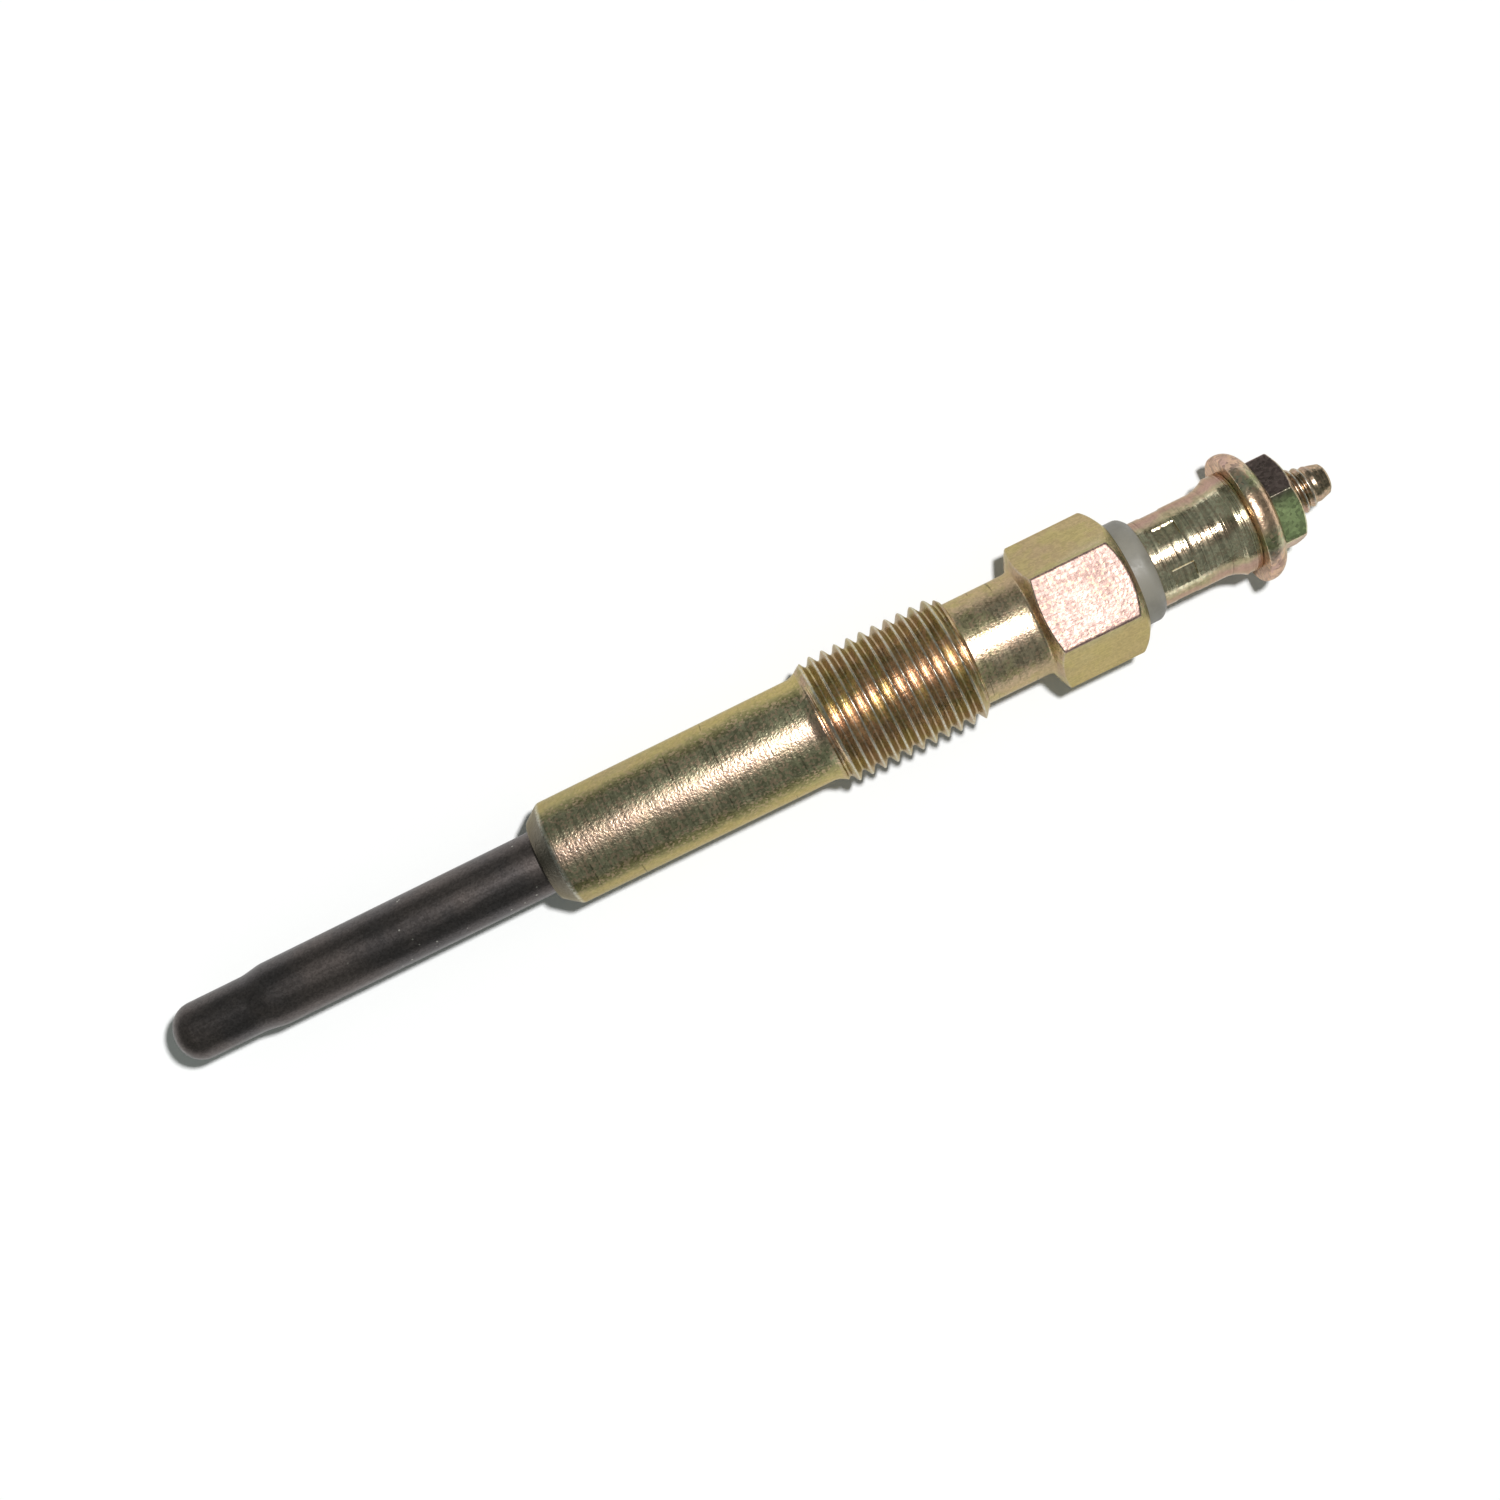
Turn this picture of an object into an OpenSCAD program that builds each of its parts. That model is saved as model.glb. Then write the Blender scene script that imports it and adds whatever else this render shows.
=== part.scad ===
// Diesel glow plug, sheathed element type, lying on one flat of its hexagon.
// The axis runs along X: heater tip toward -X, terminal stud toward +X.
// Every piece is turned about its own Z axis first, with Z = 0 at the heater tip.

/* [Heater sheath] */
// Diameter of the pressed part of the sheath
sheath_d = 6.0; // [5.7:0.1:6.3]
// Diameter of the narrow tip
tip_d = 5.4; // [5.0:0.1:5.6]
// Length of the narrow tip, with its round end
tip_len = 8.0; // [7:0.1:9]
// Length of the cone between tip and sheath
tip_taper = 1.7; // [1:0.1:2.5]
// Corner radius of the closed end
tip_round = 2.2; // [1.6:0.1:2.4]
// Wall thickness of the sheath
sheath_wall = 0.65; // [0.5:0.05:0.75]
// Length of sheath that stands out of the body
sheath_reach = 36.8; // [34:0.1:40]
// Length of sheath pressed into the body
sheath_grip = 21.7; // [18:0.1:24]

/* [Body] */
// Diameter of the plain barrel
barrel_d = 9.9; // [9.6:0.1:10.2]
// Diameter where the conical seat starts
seat_d = 7.5; // [7:0.1:8.2]
// Included angle of the conical seat
seat_angle = 75; // [58:1:90]
// Length from the body's front face to the thread
barrel_len = 27.3; // [25:0.1:30]
// Radius of the cove that leads up to the thread
thread_cove_r = 1.8; // [1.5:0.1:3.4]
// Nominal diameter of the body thread
thread_d = 12.0; // [11.6:0.1:12.2]
// Length of the body thread
thread_len = 14.4; // [12:0.1:17]
// Pitch of the body thread
thread_pitch = 1.25; // [1:0.05:1.5]
// Length of the chamfer where the thread starts
thread_front_lead = 1.2; // [0.8:0.1:1.6]
// Length of the chamfer where the thread ends
thread_rear_lead = 0.7; // [0.5:0.1:1]
// Diameter of the neck between thread and hexagon
neck_d = 9.8; // [9.4:0.1:10.2]
// Length of the neck
neck_len = 6.6; // [4:0.1:8]
// Radius of the cove between neck and hexagon
neck_cove_r = 0.3; // [0.2:0.1:0.4]
// Diameter of the clearance bore around the rod
bore_d = 6.8; // [6.6:0.1:7.2]
// Diameter of the counterbore behind the hexagon
counterbore_d = 8.0; // [7.8:0.1:8.4]

/* [Hexagon] */
// Width across flats
hex_af = 12.0; // [11.8:0.1:13]
// Length of the hexagon
hex_len = 9.1; // [8:0.1:11]
// Chamfer angle on the thread side
hex_front_angle = 23; // [15:1:30]
// Diameter at which the chamfer starts on the thread side
hex_front_d = 10.4; // [10.2:0.1:11]
// Radius of the ball that crowns the terminal side
hex_crown_r = 11; // [9.5:0.5:14]
// Diameter of the flat end on the terminal side
hex_rear_d = 10.4; // [10.2:0.1:11]

/* [Insulating bush] */
// Diameter of the collar
collar_d = 9.8; // [9.2:0.1:10.2]
// Thickness of the collar
collar_t = 2.1; // [1.5:0.1:2.6]
// Chamfer on the collar's outer edge
collar_chamfer = 0.6; // [0.3:0.05:1]
// Length of the spigot inside the counterbore
spigot_len = 3.0; // [2.5:0.1:4]

/* [Terminal sleeve] */
// Diameter of the sleeve
sleeve_d = 8.1; // [7.8:0.1:8.4]
// Length of the sleeve with its flange
sleeve_len = 9.2; // [8.5:0.1:11]
// Diameter of the sleeve's flange
sleeve_flange_d = 9.4; // [9.2:0.1:9.8]
// Width of the flange rim
sleeve_rim_t = 1.3; // [0.9:0.1:1.6]
// Radius of the cove in front of the flange
sleeve_cove_r = 3.6; // [2:0.1:4.2]
// Number of crimp dents
crimp_count = 6; // [4:1:8]
// Width of a crimp dent round the sleeve
crimp_w = 1.8; // [1.4:0.1:2.2]
// Length of a crimp dent along the sleeve
crimp_len = 2.0; // [1.5:0.1:2.5]
// Depth of a crimp dent at its middle
crimp_depth = 0.2; // [0.15:0.05:0.35]
// Distance from the collar to the crimp dents
crimp_offset = 1.3; // [1:0.1:2]
// Turn of the first crimp dent from the downward line
crimp_turn = 31; // [0:1:60]

/* [Terminal nut] */
// Width across flats of the nut
nut_af = 8.0; // [7.8:0.1:8.4]
// Height of the nut with its flange
nut_h = 4.7; // [4.2:0.1:5.2]
// Diameter of the nut's flange
nut_flange_d = 12.2; // [11.8:0.1:12.6]
// Height of the flange's widest place above its bearing face
nut_edge_t = 0.55; // [0.3:0.05:0.7]
// Rounding of the flange's edge toward its bearing face
nut_edge_round = 0.15; // [0.1:0.05:0.4]
// Rise of the flange's crown from its widest place to the hexagon
nut_crown_h = 1.75; // [1.4:0.05:2]
// Chamfer angle on the nut's outer end
nut_chamfer_angle = 30; // [20:1:35]
// Turn of the nut's flats about the axis
nut_turn = 21; // [0:1:60]

/* [Centre rod] */
// Nominal diameter of the rod and its terminal thread
stud_d = 5.0; // [4.8:0.1:5.1]
// Diameter of the rod inside the sheath
rod_front_d = 3.2; // [3:0.1:3.4]
// Length of stud outside the nut
stud_out = 3.9; // [3:0.1:5]
// Half angle of the tapered point
point_angle = 16.5; // [12:0.5:18]
// Chamfer at the point's end
point_chamfer = 0.25; // [0.1:0.05:0.4]

/* [Coils] */
// Wire diameter of both coils
wire_d = 0.4; // [0.3:0.05:0.4]
// Mean radius of both coils
coil_r = 1.25; // [1.15:0.05:1.3]
// Turns of the heating coil
heat_turns = 10; // [6:1:11]
// Pitch of the heating coil
heat_pitch = 0.75; // [0.65:0.05:0.85]
// Turns of the control coil
control_turns = 15; // [10:1:16]
// Pitch of the control coil
control_pitch = 1.1; // [0.9:0.05:1.2]
// Rise of the stretched half turn that joins the coils
link_rise = 1.5; // [1.4:0.1:1.8]

/* [Seals and fits] */
// Length of the rubber seal in the sheath's end
sheath_seal_len = 3.5; // [2.5:0.1:5]
// Gap on each side of a press fit
press_gap = 0.01; // [0.005:0.005:0.02]
// Gap on each side of a sliding fit
slide_gap = 0.03; // [0.02:0.01:0.05]
// Gap round the coils in the powder
coil_gap = 0.06; // [0.05:0.01:0.08]

/* [Hidden] */
$fn = 96;

// Radii
sheath_r = sheath_d / 2;
tip_r = tip_d / 2;
barrel_r = barrel_d / 2;
seat_r = seat_d / 2;
thread_r = thread_d / 2;
neck_r = neck_d / 2;
hex_front_r = hex_front_d / 2;
hex_rear_r = hex_rear_d / 2;
collar_r = collar_d / 2;
sleeve_r = sleeve_d / 2;
sleeve_flange_r = sleeve_flange_d / 2;
nut_flange_r = nut_flange_d / 2;
stud_r = stud_d / 2;
rod_front_r = rod_front_d / 2;
counterbore_r = counterbore_d / 2;
wire_r = wire_d / 2;

// Stations along the axis, from the heater tip
u_body = sheath_reach;
u_thread = u_body + barrel_len;
u_neck = u_thread + thread_len;
u_hex = u_neck + neck_len;
u_hex_end = u_hex + hex_len;
u_collar_end = u_hex_end + collar_t;
u_sleeve_end = u_collar_end + sleeve_len;
u_nut_end = u_sleeve_end + nut_h;
u_end = u_nut_end + stud_out;
u_sheath_end = u_body + sheath_grip;
u_powder_end = u_sheath_end - sheath_seal_len;

// Body details
seat_len = (barrel_r - seat_r) / tan(seat_angle / 2);
thread_depth = 0.6134 * thread_pitch;
thread_root_r = thread_r - thread_depth;
thread_cove_rise = max(thread_root_r - barrel_r, 0);
thread_cove_len = cove_length(thread_cove_r, thread_cove_rise);
cove_overlap = 0.1;

// Seal ring, squeezed between rod, counterbore and spigot
ring_r = (counterbore_r - stud_r) / 2 - press_gap;
ring_centre_r = (counterbore_r + stud_r) / 2;
u_spigot = u_hex_end - spigot_len;
u_ring = u_spigot - press_gap - ring_r;
u_counterbore = u_ring - ring_r - press_gap;

// Sleeve and nut details
sleeve_cove_rise = sleeve_flange_r - sleeve_r;
sleeve_cove_len = cove_length(sleeve_cove_r, sleeve_cove_rise);
nut_chamfer_r = 0.95 * nut_af / 2;
nut_crown_foot = 0.98 * nut_af / 2;

// Rod details
point_len = stud_out - point_chamfer;
point_r = stud_r - point_len * tan(point_angle);
u_rod_step = u_sheath_end + 1;

// Coil stations: weld on the sheath's floor, spiral out, heating turns, link, control turns
coil_steps = 12;
wire_sides = 8;
inlet_r = 1.8 * wire_r;
inlet_rise = 2.4 * wire_d;
u_inlet = sheath_wall + wire_r + press_gap;
u_heat = u_inlet + inlet_rise;
u_link = u_heat + heat_turns * heat_pitch;
u_control = u_link + link_rise;
u_control_end = u_control + control_turns * control_pitch;
weld_gap = 7;
nose_r = coil_r * cos(180 / coil_steps) - wire_r - slide_gap;
nose_turns = 2;
u_nose = u_control_end - nose_turns * control_pitch;
u_shoulder = u_control_end + wire_r + slide_gap;

// Pocket that the coils fill in the powder, with one bridge beside the link
pocket_in = coil_r - wire_r - coil_gap;
pocket_out = coil_r + wire_r + coil_gap;
u_core = u_heat + wire_r + coil_gap;
bridge_t = link_rise / 2 - wire_d - coil_gap;
u_bridge = u_link + (link_rise - bridge_t) / 2;
bridge_sweep = 100;

// The plug lies on whichever of its round or flat faces stands out most
axis_height = max(thread_r, hex_af / 2, nut_flange_r);

// Axial length of a cove of radius r that has risen by h
function cove_length(r, h) = sqrt(2 * r * h - h * h);

// Point of a coil at radius r, height u and angle a
function coil_point(r, u, a) = [r * cos(a), r * sin(a), u];

// Heating coil: one spiral turn out from the weld, then even turns
function heat_point(a) =
    let (turn = a / 360)
    turn < 1
        ? coil_point(inlet_r + (coil_r - inlet_r) * turn, u_inlet + inlet_rise * turn, a)
        : coil_point(coil_r, u_heat + (turn - 1) * heat_pitch, a);

// Control coil: a stretched half turn, then even turns
function control_point(a) =
    let (turn = a / 360)
    turn < 0.5
        ? coil_point(coil_r, u_link + 2 * link_rise * turn, a)
        : coil_point(coil_r, u_control + (turn - 0.5) * control_pitch, a);

// Ring of wire round path point i, square to the path
function wire_ring(path, i) =
    let (last = len(path) - 1)
    let (along = path[min(i + 1, last)] - path[max(i - 1, 0)])
    let (t = along / norm(along))
    let (rise = [0, 0, 1] - t[2] * t)
    let (n = rise / norm(rise))
    let (b = cross(t, n))
    [for (k = [0 : wire_sides - 1])
        let (a = 360 * k / wire_sides)
        path[i] + wire_r * (cos(a) * n + sin(a) * b)];

// A wire swept along a list of points
module wire(path) {
    rings = [for (i = [0 : len(path) - 1]) each wire_ring(path, i)];
    last = len(path) - 1;
    sides = [for (i = [0 : last - 1], k = [0 : wire_sides - 1])
        let (a = i * wire_sides + k)
        let (b = i * wire_sides + (k + 1) % wire_sides)
        each [[a, b + wire_sides, b], [a, a + wire_sides, b + wire_sides]]];
    front = [for (k = [0 : wire_sides - 1]) k];
    back = [for (k = [wire_sides - 1 : -1 : 0]) last * wire_sides + k];
    polyhedron(points = rings, faces = concat([front], sides, [back]));
}

// Lays a turned piece along X at its resting height
module on_axis() {
    translate([-u_end / 2, 0, axis_height])
        rotate([0, 90, 0])
            children();
}

// Concave quarter that starts flush at y = 0 and has risen by h at its far end, overlapping what it joins
module cove(r, h) {
    difference() {
        translate([-cove_overlap, 0])
            square([h + cove_overlap, cove_length(r, h) + cove_overlap]);
        translate([r, 0])
            circle(r = r);
    }
}

// Outline of the sheath, drawn in by inset all round, up to y = end
module sheath_outline(inset, end) {
    intersection() {
        translate([tip_r - tip_round, tip_round])
            circle(r = tip_round - inset);
        square([tip_r, tip_round]);
    }
    translate([0, inset])
        square([tip_r - tip_round, tip_round - inset]);
    polygon([
        [0, tip_round],
        [tip_r - inset, tip_round],
        [tip_r - inset, tip_len],
        [sheath_r - inset, tip_len + tip_taper],
        [sheath_r - inset, end],
        [0, end]
    ]);
}

// Hexagonal prism across flats af, its first flat toward +X
module hexagon(af, h) {
    rotate([0, 0, 30])
        cylinder(d = af / cos(30), h = h, $fn = 6);
}

// Outline that cuts a body hexagon's ends: a cone in front, a ball behind
module hex_end_outline() {
    corner_r = hex_af / cos(30) / 2;
    crown_centre = hex_len - sqrt(pow(hex_crown_r, 2) - pow(hex_rear_r, 2));
    intersection() {
        polygon([
            [0, 0],
            [hex_front_r, 0],
            [2 * corner_r, (2 * corner_r - hex_front_r) * tan(hex_front_angle)],
            [2 * corner_r, hex_len],
            [0, hex_len]
        ]);
        translate([0, crown_centre])
            circle(r = hex_crown_r);
    }
}

// Outline that cuts a nut's outer end with a cone
module nut_end_outline() {
    corner_r = nut_af / cos(30) / 2;
    polygon([
        [0, 0],
        [2 * corner_r, 0],
        [2 * corner_r, nut_h - (2 * corner_r - nut_chamfer_r) * tan(nut_chamfer_angle)],
        [nut_chamfer_r, nut_h],
        [0, nut_h]
    ]);
}

// Turned outline of the body without its hexagon and bores
module body_outline() {
    polygon([
        [0, u_body],
        [seat_r, u_body],
        [barrel_r, u_body + seat_len],
        [barrel_r, u_thread],
        [thread_root_r, u_thread],
        [thread_r, u_thread + thread_front_lead],
        [thread_r, u_neck - thread_rear_lead],
        [thread_root_r, u_neck],
        [neck_r, u_neck],
        [neck_r, u_hex],
        [neck_r, u_hex + neck_cove_r],
        [0, u_hex + neck_cove_r]
    ]);
    translate([barrel_r, u_thread - thread_cove_len])
        cove(thread_cove_r, thread_cove_rise);
    translate([neck_r, u_hex - neck_cove_r])
        cove(neck_cove_r, neck_cove_r);
}

module body_shell() {
    color("darkkhaki")
        on_axis()
            difference() {
                union() {
                    rotate_extrude()
                        body_outline();
                    translate([0, 0, u_hex])
                        intersection() {
                            hexagon(hex_af, hex_len);
                            rotate_extrude()
                                hex_end_outline();
                        }
                }
                translate([0, 0, u_body - 1])
                    cylinder(r = sheath_r + press_gap, h = u_sheath_end - u_body + 2);
                translate([0, 0, u_sheath_end])
                    cylinder(d = bore_d, h = u_hex_end - u_sheath_end + 1);
                translate([0, 0, u_counterbore])
                    cylinder(r = counterbore_r, h = u_hex_end - u_counterbore + 1);
            }
}

module heater_sheath() {
    color([0.24, 0.22, 0.21])
        on_axis()
            rotate_extrude()
                difference() {
                    sheath_outline(0, u_sheath_end);
                    sheath_outline(sheath_wall, u_sheath_end + 1);
                }
}

module heating_coil() {
    color("silver")
        on_axis()
            wire([for (i = [0 : coil_steps * (heat_turns + 1)]) heat_point(360 * i / coil_steps)]);
}

module control_coil() {
    last = coil_steps * (control_turns + 0.5);
    color("lightsteelblue")
        on_axis()
            wire([for (i = [0 : last]) control_point(max(weld_gap, 360 * i / coil_steps))]);
}

// Packed magnesia: sleeve and core round the coil pocket, joined by the bridge
module insulating_powder() {
    color("whitesmoke")
        on_axis() {
            rotate_extrude()
                difference() {
                    sheath_outline(sheath_wall + press_gap, u_powder_end);
                    square([pocket_out, u_core]);
                    translate([pocket_in, 0])
                        square([pocket_out - pocket_in, u_shoulder]);
                    translate([0, u_nose - slide_gap])
                        square([pocket_out, u_shoulder - u_nose + slide_gap]);
                    translate([0, u_shoulder - slide_gap])
                        square([rod_front_r + press_gap, u_powder_end]);
                }
            rotate([0, 0, 270 - bridge_sweep / 2])
                rotate_extrude(angle = bridge_sweep)
                    translate([pocket_in - press_gap, u_bridge])
                        square([pocket_out - pocket_in + 2 * press_gap, bridge_t]);
        }
}

module sheath_seal() {
    color("dimgray")
        on_axis()
            translate([0, 0, u_powder_end])
                difference() {
                    cylinder(r = sheath_r - sheath_wall - press_gap, h = sheath_seal_len);
                    translate([0, 0, -1])
                        cylinder(r = rod_front_r + press_gap, h = sheath_seal_len + 2);
                }
}

module centre_rod() {
    color("darkgoldenrod")
        on_axis()
            rotate_extrude()
                polygon([
                    [0, u_nose],
                    [nose_r, u_nose],
                    [nose_r, u_shoulder],
                    [rod_front_r, u_shoulder],
                    [rod_front_r, u_rod_step],
                    [stud_r, u_rod_step + stud_r - rod_front_r],
                    [stud_r, u_nut_end],
                    [point_r, u_nut_end + point_len],
                    [point_r - point_chamfer, u_end],
                    [0, u_end]
                ]);
}

module body_seal_ring() {
    color([0.12, 0.12, 0.12])
        on_axis()
            rotate_extrude()
                translate([ring_centre_r, u_ring])
                    circle(r = ring_r);
}

module insulating_bush() {
    color([0.53, 0.53, 0.5])
        on_axis()
            rotate_extrude()
                polygon([
                    [stud_r + slide_gap, u_spigot],
                    [counterbore_r - slide_gap, u_spigot],
                    [counterbore_r - slide_gap, u_hex_end],
                    [collar_r, u_hex_end],
                    [collar_r, u_collar_end - collar_chamfer],
                    [collar_r - collar_chamfer, u_collar_end],
                    [stud_r + slide_gap, u_collar_end]
                ]);
}

// Crimped on the rod: plain sleeve, punched dents, coved flange for the wire's eyelet
module terminal_sleeve() {
    color("khaki")
        on_axis()
            difference() {
                rotate_extrude()
                    difference() {
                        union() {
                            translate([0, u_collar_end])
                                square([sleeve_r, sleeve_len]);
                            translate([0, u_sleeve_end - sleeve_rim_t])
                                square([sleeve_flange_r, sleeve_rim_t]);
                            translate([sleeve_r, u_sleeve_end - sleeve_rim_t - sleeve_cove_len])
                                cove(sleeve_cove_r, sleeve_cove_rise);
                        }
                        square([stud_r + slide_gap, u_end]);
                    }
                for (i = [0 : crimp_count - 1])
                    rotate([0, 0, crimp_turn + 360 * i / crimp_count])
                        translate([sleeve_r - crimp_depth, -crimp_w / 2, u_collar_end + crimp_offset])
                            cube([sleeve_r, crimp_w, crimp_len]);
            }
}

module terminal_nut() {
    color("olive")
        on_axis()
            translate([0, 0, u_sleeve_end])
                rotate([0, 0, nut_turn])
                    difference() {
                        union() {
                            rotate_extrude()
                                nut_flange_outline();
                            intersection() {
                                hexagon(nut_af, nut_h);
                                rotate_extrude()
                                    nut_end_outline();
                            }
                        }
                        translate([0, 0, -1])
                            cylinder(r = stud_r + press_gap, h = nut_h + 2);
                    }
}

// Bearing face, rounded edge, and a crown that bends in to the nut's hexagon
module nut_flange_outline() {
    edge_r = nut_flange_r - nut_edge_round;
    crown_w = nut_flange_r - nut_crown_foot;
    polygon(concat(
        [[0, nut_edge_t + nut_crown_h], [0, 0]],
        [for (a = [-90 : 7.5 : 0]) [edge_r + nut_edge_round * cos(a), nut_edge_t * (1 + sin(a))]],
        [for (a = [3.75 : 3.75 : 90]) [nut_crown_foot + crown_w * cos(a), nut_edge_t + nut_crown_h * sin(a)]]
    ));
}

body_shell();
heater_sheath();
heating_coil();
control_coil();
insulating_powder();
sheath_seal();
centre_rod();
body_seal_ring();
insulating_bush();
terminal_sleeve();
terminal_nut();
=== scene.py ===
"""Finished look of a diesel glow plug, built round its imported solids.

Every visible piece is turned about the plug's axis: a profile of stations and radii is carried round a
ring of angles, and threads, hexagons and punched dents are formulas for the radius on that grid.
"""

import math

import bpy
import numpy as np
from bpy.props import FloatProperty, FloatVectorProperty, IntProperty, PointerProperty
from mathutils import Color, Matrix, Vector


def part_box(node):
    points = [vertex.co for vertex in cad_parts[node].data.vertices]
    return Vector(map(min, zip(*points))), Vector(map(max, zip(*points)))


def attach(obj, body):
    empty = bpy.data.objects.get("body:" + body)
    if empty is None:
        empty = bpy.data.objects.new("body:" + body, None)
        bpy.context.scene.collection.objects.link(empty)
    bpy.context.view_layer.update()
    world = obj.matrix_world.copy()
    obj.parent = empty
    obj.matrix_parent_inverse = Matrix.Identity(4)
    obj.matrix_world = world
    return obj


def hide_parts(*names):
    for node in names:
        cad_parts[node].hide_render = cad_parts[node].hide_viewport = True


bl_info = {
    "name": "Glow plug finish",
    "version": (1, 0, 0),
    "blender": (4, 5, 0),
    "location": "View3D > Sidebar > Glow plug",
    "description": "Builds the plated, threaded and crimped pieces of a glow plug round its solids",
    "category": "Object",
}

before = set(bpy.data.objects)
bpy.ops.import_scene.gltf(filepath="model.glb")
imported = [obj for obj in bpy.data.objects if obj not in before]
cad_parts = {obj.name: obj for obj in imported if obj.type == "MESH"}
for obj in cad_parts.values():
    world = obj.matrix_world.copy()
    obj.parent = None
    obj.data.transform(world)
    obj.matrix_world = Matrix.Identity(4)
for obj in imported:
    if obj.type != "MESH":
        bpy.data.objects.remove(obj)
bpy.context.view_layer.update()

MM = 0.001
EVEN_SLANT = 0.81            # the lamp lights the floor evenly down to this cosine, and then fades
LEAST_SLANT = 0.01           # keeps the lamp's strength finite for level rays
HORIZON_BAND = (0.05, 0.15)  # heights between which the horizon's light turns into the dome's
SENSOR_WIDTH = 36.0          # of the camera, in millimetres
CLIP_START = 0.01            # nearest distance that the camera shows, in metres

# Places that the solids give, in metres
SHEATH_LOW, SHEATH_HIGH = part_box("heater_sheath")
BODY_LOW, BODY_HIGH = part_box("body_shell")
BUSH_LOW, BUSH_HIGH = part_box("insulating_bush")
SLEEVE_LOW, SLEEVE_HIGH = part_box("terminal_sleeve")
NUT_LOW, NUT_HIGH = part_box("terminal_nut")
ROD_LOW, ROD_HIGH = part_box("centre_rod")
AXIS_Z = (SHEATH_LOW.z + SHEATH_HIGH.z) / 2


# Settings

def length(name, description, millimetres):
    """A length, written in millimetres and kept in metres."""
    return FloatProperty(name=name, description=description, default=millimetres * MM, min=0.0,
                         precision=5, unit="LENGTH")


def angle(name, description, degrees):
    """An angle, written in degrees and kept in radians."""
    return FloatProperty(name=name, description=description, default=math.radians(degrees),
                         subtype="ANGLE", unit="ROTATION")


def colour(name, description, red, green, blue):
    """A colour in linear light."""
    return FloatVectorProperty(name=name, description=description, default=(red, green, blue), size=3,
                               min=0.0, max=1.0, subtype="COLOR")


def spot(name, description, x, y, z):
    """A place, written in millimetres and kept in metres."""
    return FloatVectorProperty(name=name, description=description, default=(x * MM, y * MM, z * MM),
                               unit="LENGTH")


def share(name, description, value, highest):
    """A plain number from 0 to a highest value."""
    return FloatProperty(name=name, description=description, default=value, min=0.0, max=highest)


class PlugSheathSizes(bpy.types.PropertyGroup):
    """Sizes of the heater sheath."""
    diameter: length("Diameter", "Outside diameter of the pressed part", 6.0)
    tip_diameter: length("Tip diameter", "Outside diameter of the narrow tip", 5.4)
    tip_round: length("Tip round", "Corner radius of the closed end", 2.2)
    taper_start: length("Taper start", "Distance from the tip to the start of the swell", 7.4)
    taper_length: length("Taper length", "Length of the S-shaped swell", 2.5)
    wall: length("Wall", "Wall thickness of the tube", 0.65)


class PlugBodySizes(bpy.types.PropertyGroup):
    """Sizes of the turned body."""
    barrel_diameter: length("Barrel diameter", "Diameter of the plain barrel", 9.9)
    seat_diameter: length("Seat diameter", "Diameter where the conical seat starts", 7.5)
    seat_length: length("Seat length", "Length of the conical seat along the axis", 1.564)
    barrel_length: length("Barrel length", "From the front face to the thread", 27.3)
    cove_radius: length("Cove radius", "Radius of the cove that leads up to the thread", 1.8)
    thread_diameter: length("Thread diameter", "Outside diameter of the thread", 12.0)
    thread_length: length("Thread length", "Length of the thread with both leads", 14.4)
    thread_pitch: length("Thread pitch", "Distance from crest to crest", 1.25)
    thread_crest: length("Thread crest place", "From the front face to a crest on the +Y side", 30.45)
    front_lead: length("Front lead", "Length of the chamfer where the thread starts", 1.2)
    rear_lead: length("Rear lead", "Length of the chamfer where the thread ends", 0.7)
    neck_diameter: length("Neck diameter", "Diameter of the neck behind the thread", 9.8)
    neck_length: length("Neck length", "From the thread to the hexagon", 6.6)
    neck_cove: length("Neck cove", "Radius of the cove between neck and hexagon", 0.3)
    hex_flats: length("Hexagon", "Width across flats", 12.0)
    hex_front_diameter: length("Hexagon front", "Diameter where the front chamfer starts", 10.4)
    hex_front_angle: angle("Hexagon front angle", "Slope of the front chamfer", 23.0)
    hex_crown: length("Hexagon crown", "Radius of the ball that crowns the rear end", 11.0)
    hex_rear_diameter: length("Hexagon rear", "Diameter of the flat rear end", 10.4)
    hex_round: length("Hexagon edge", "Radius of the six long edges", 0.3)
    bore_diameter: length("Bore", "Clearance bore round the rod", 6.8)
    counterbore_diameter: length("Counterbore", "Bore for the bush's spigot", 8.0)
    counterbore_depth: length("Counterbore depth", "Depth of the counterbore", 4.5)


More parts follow.
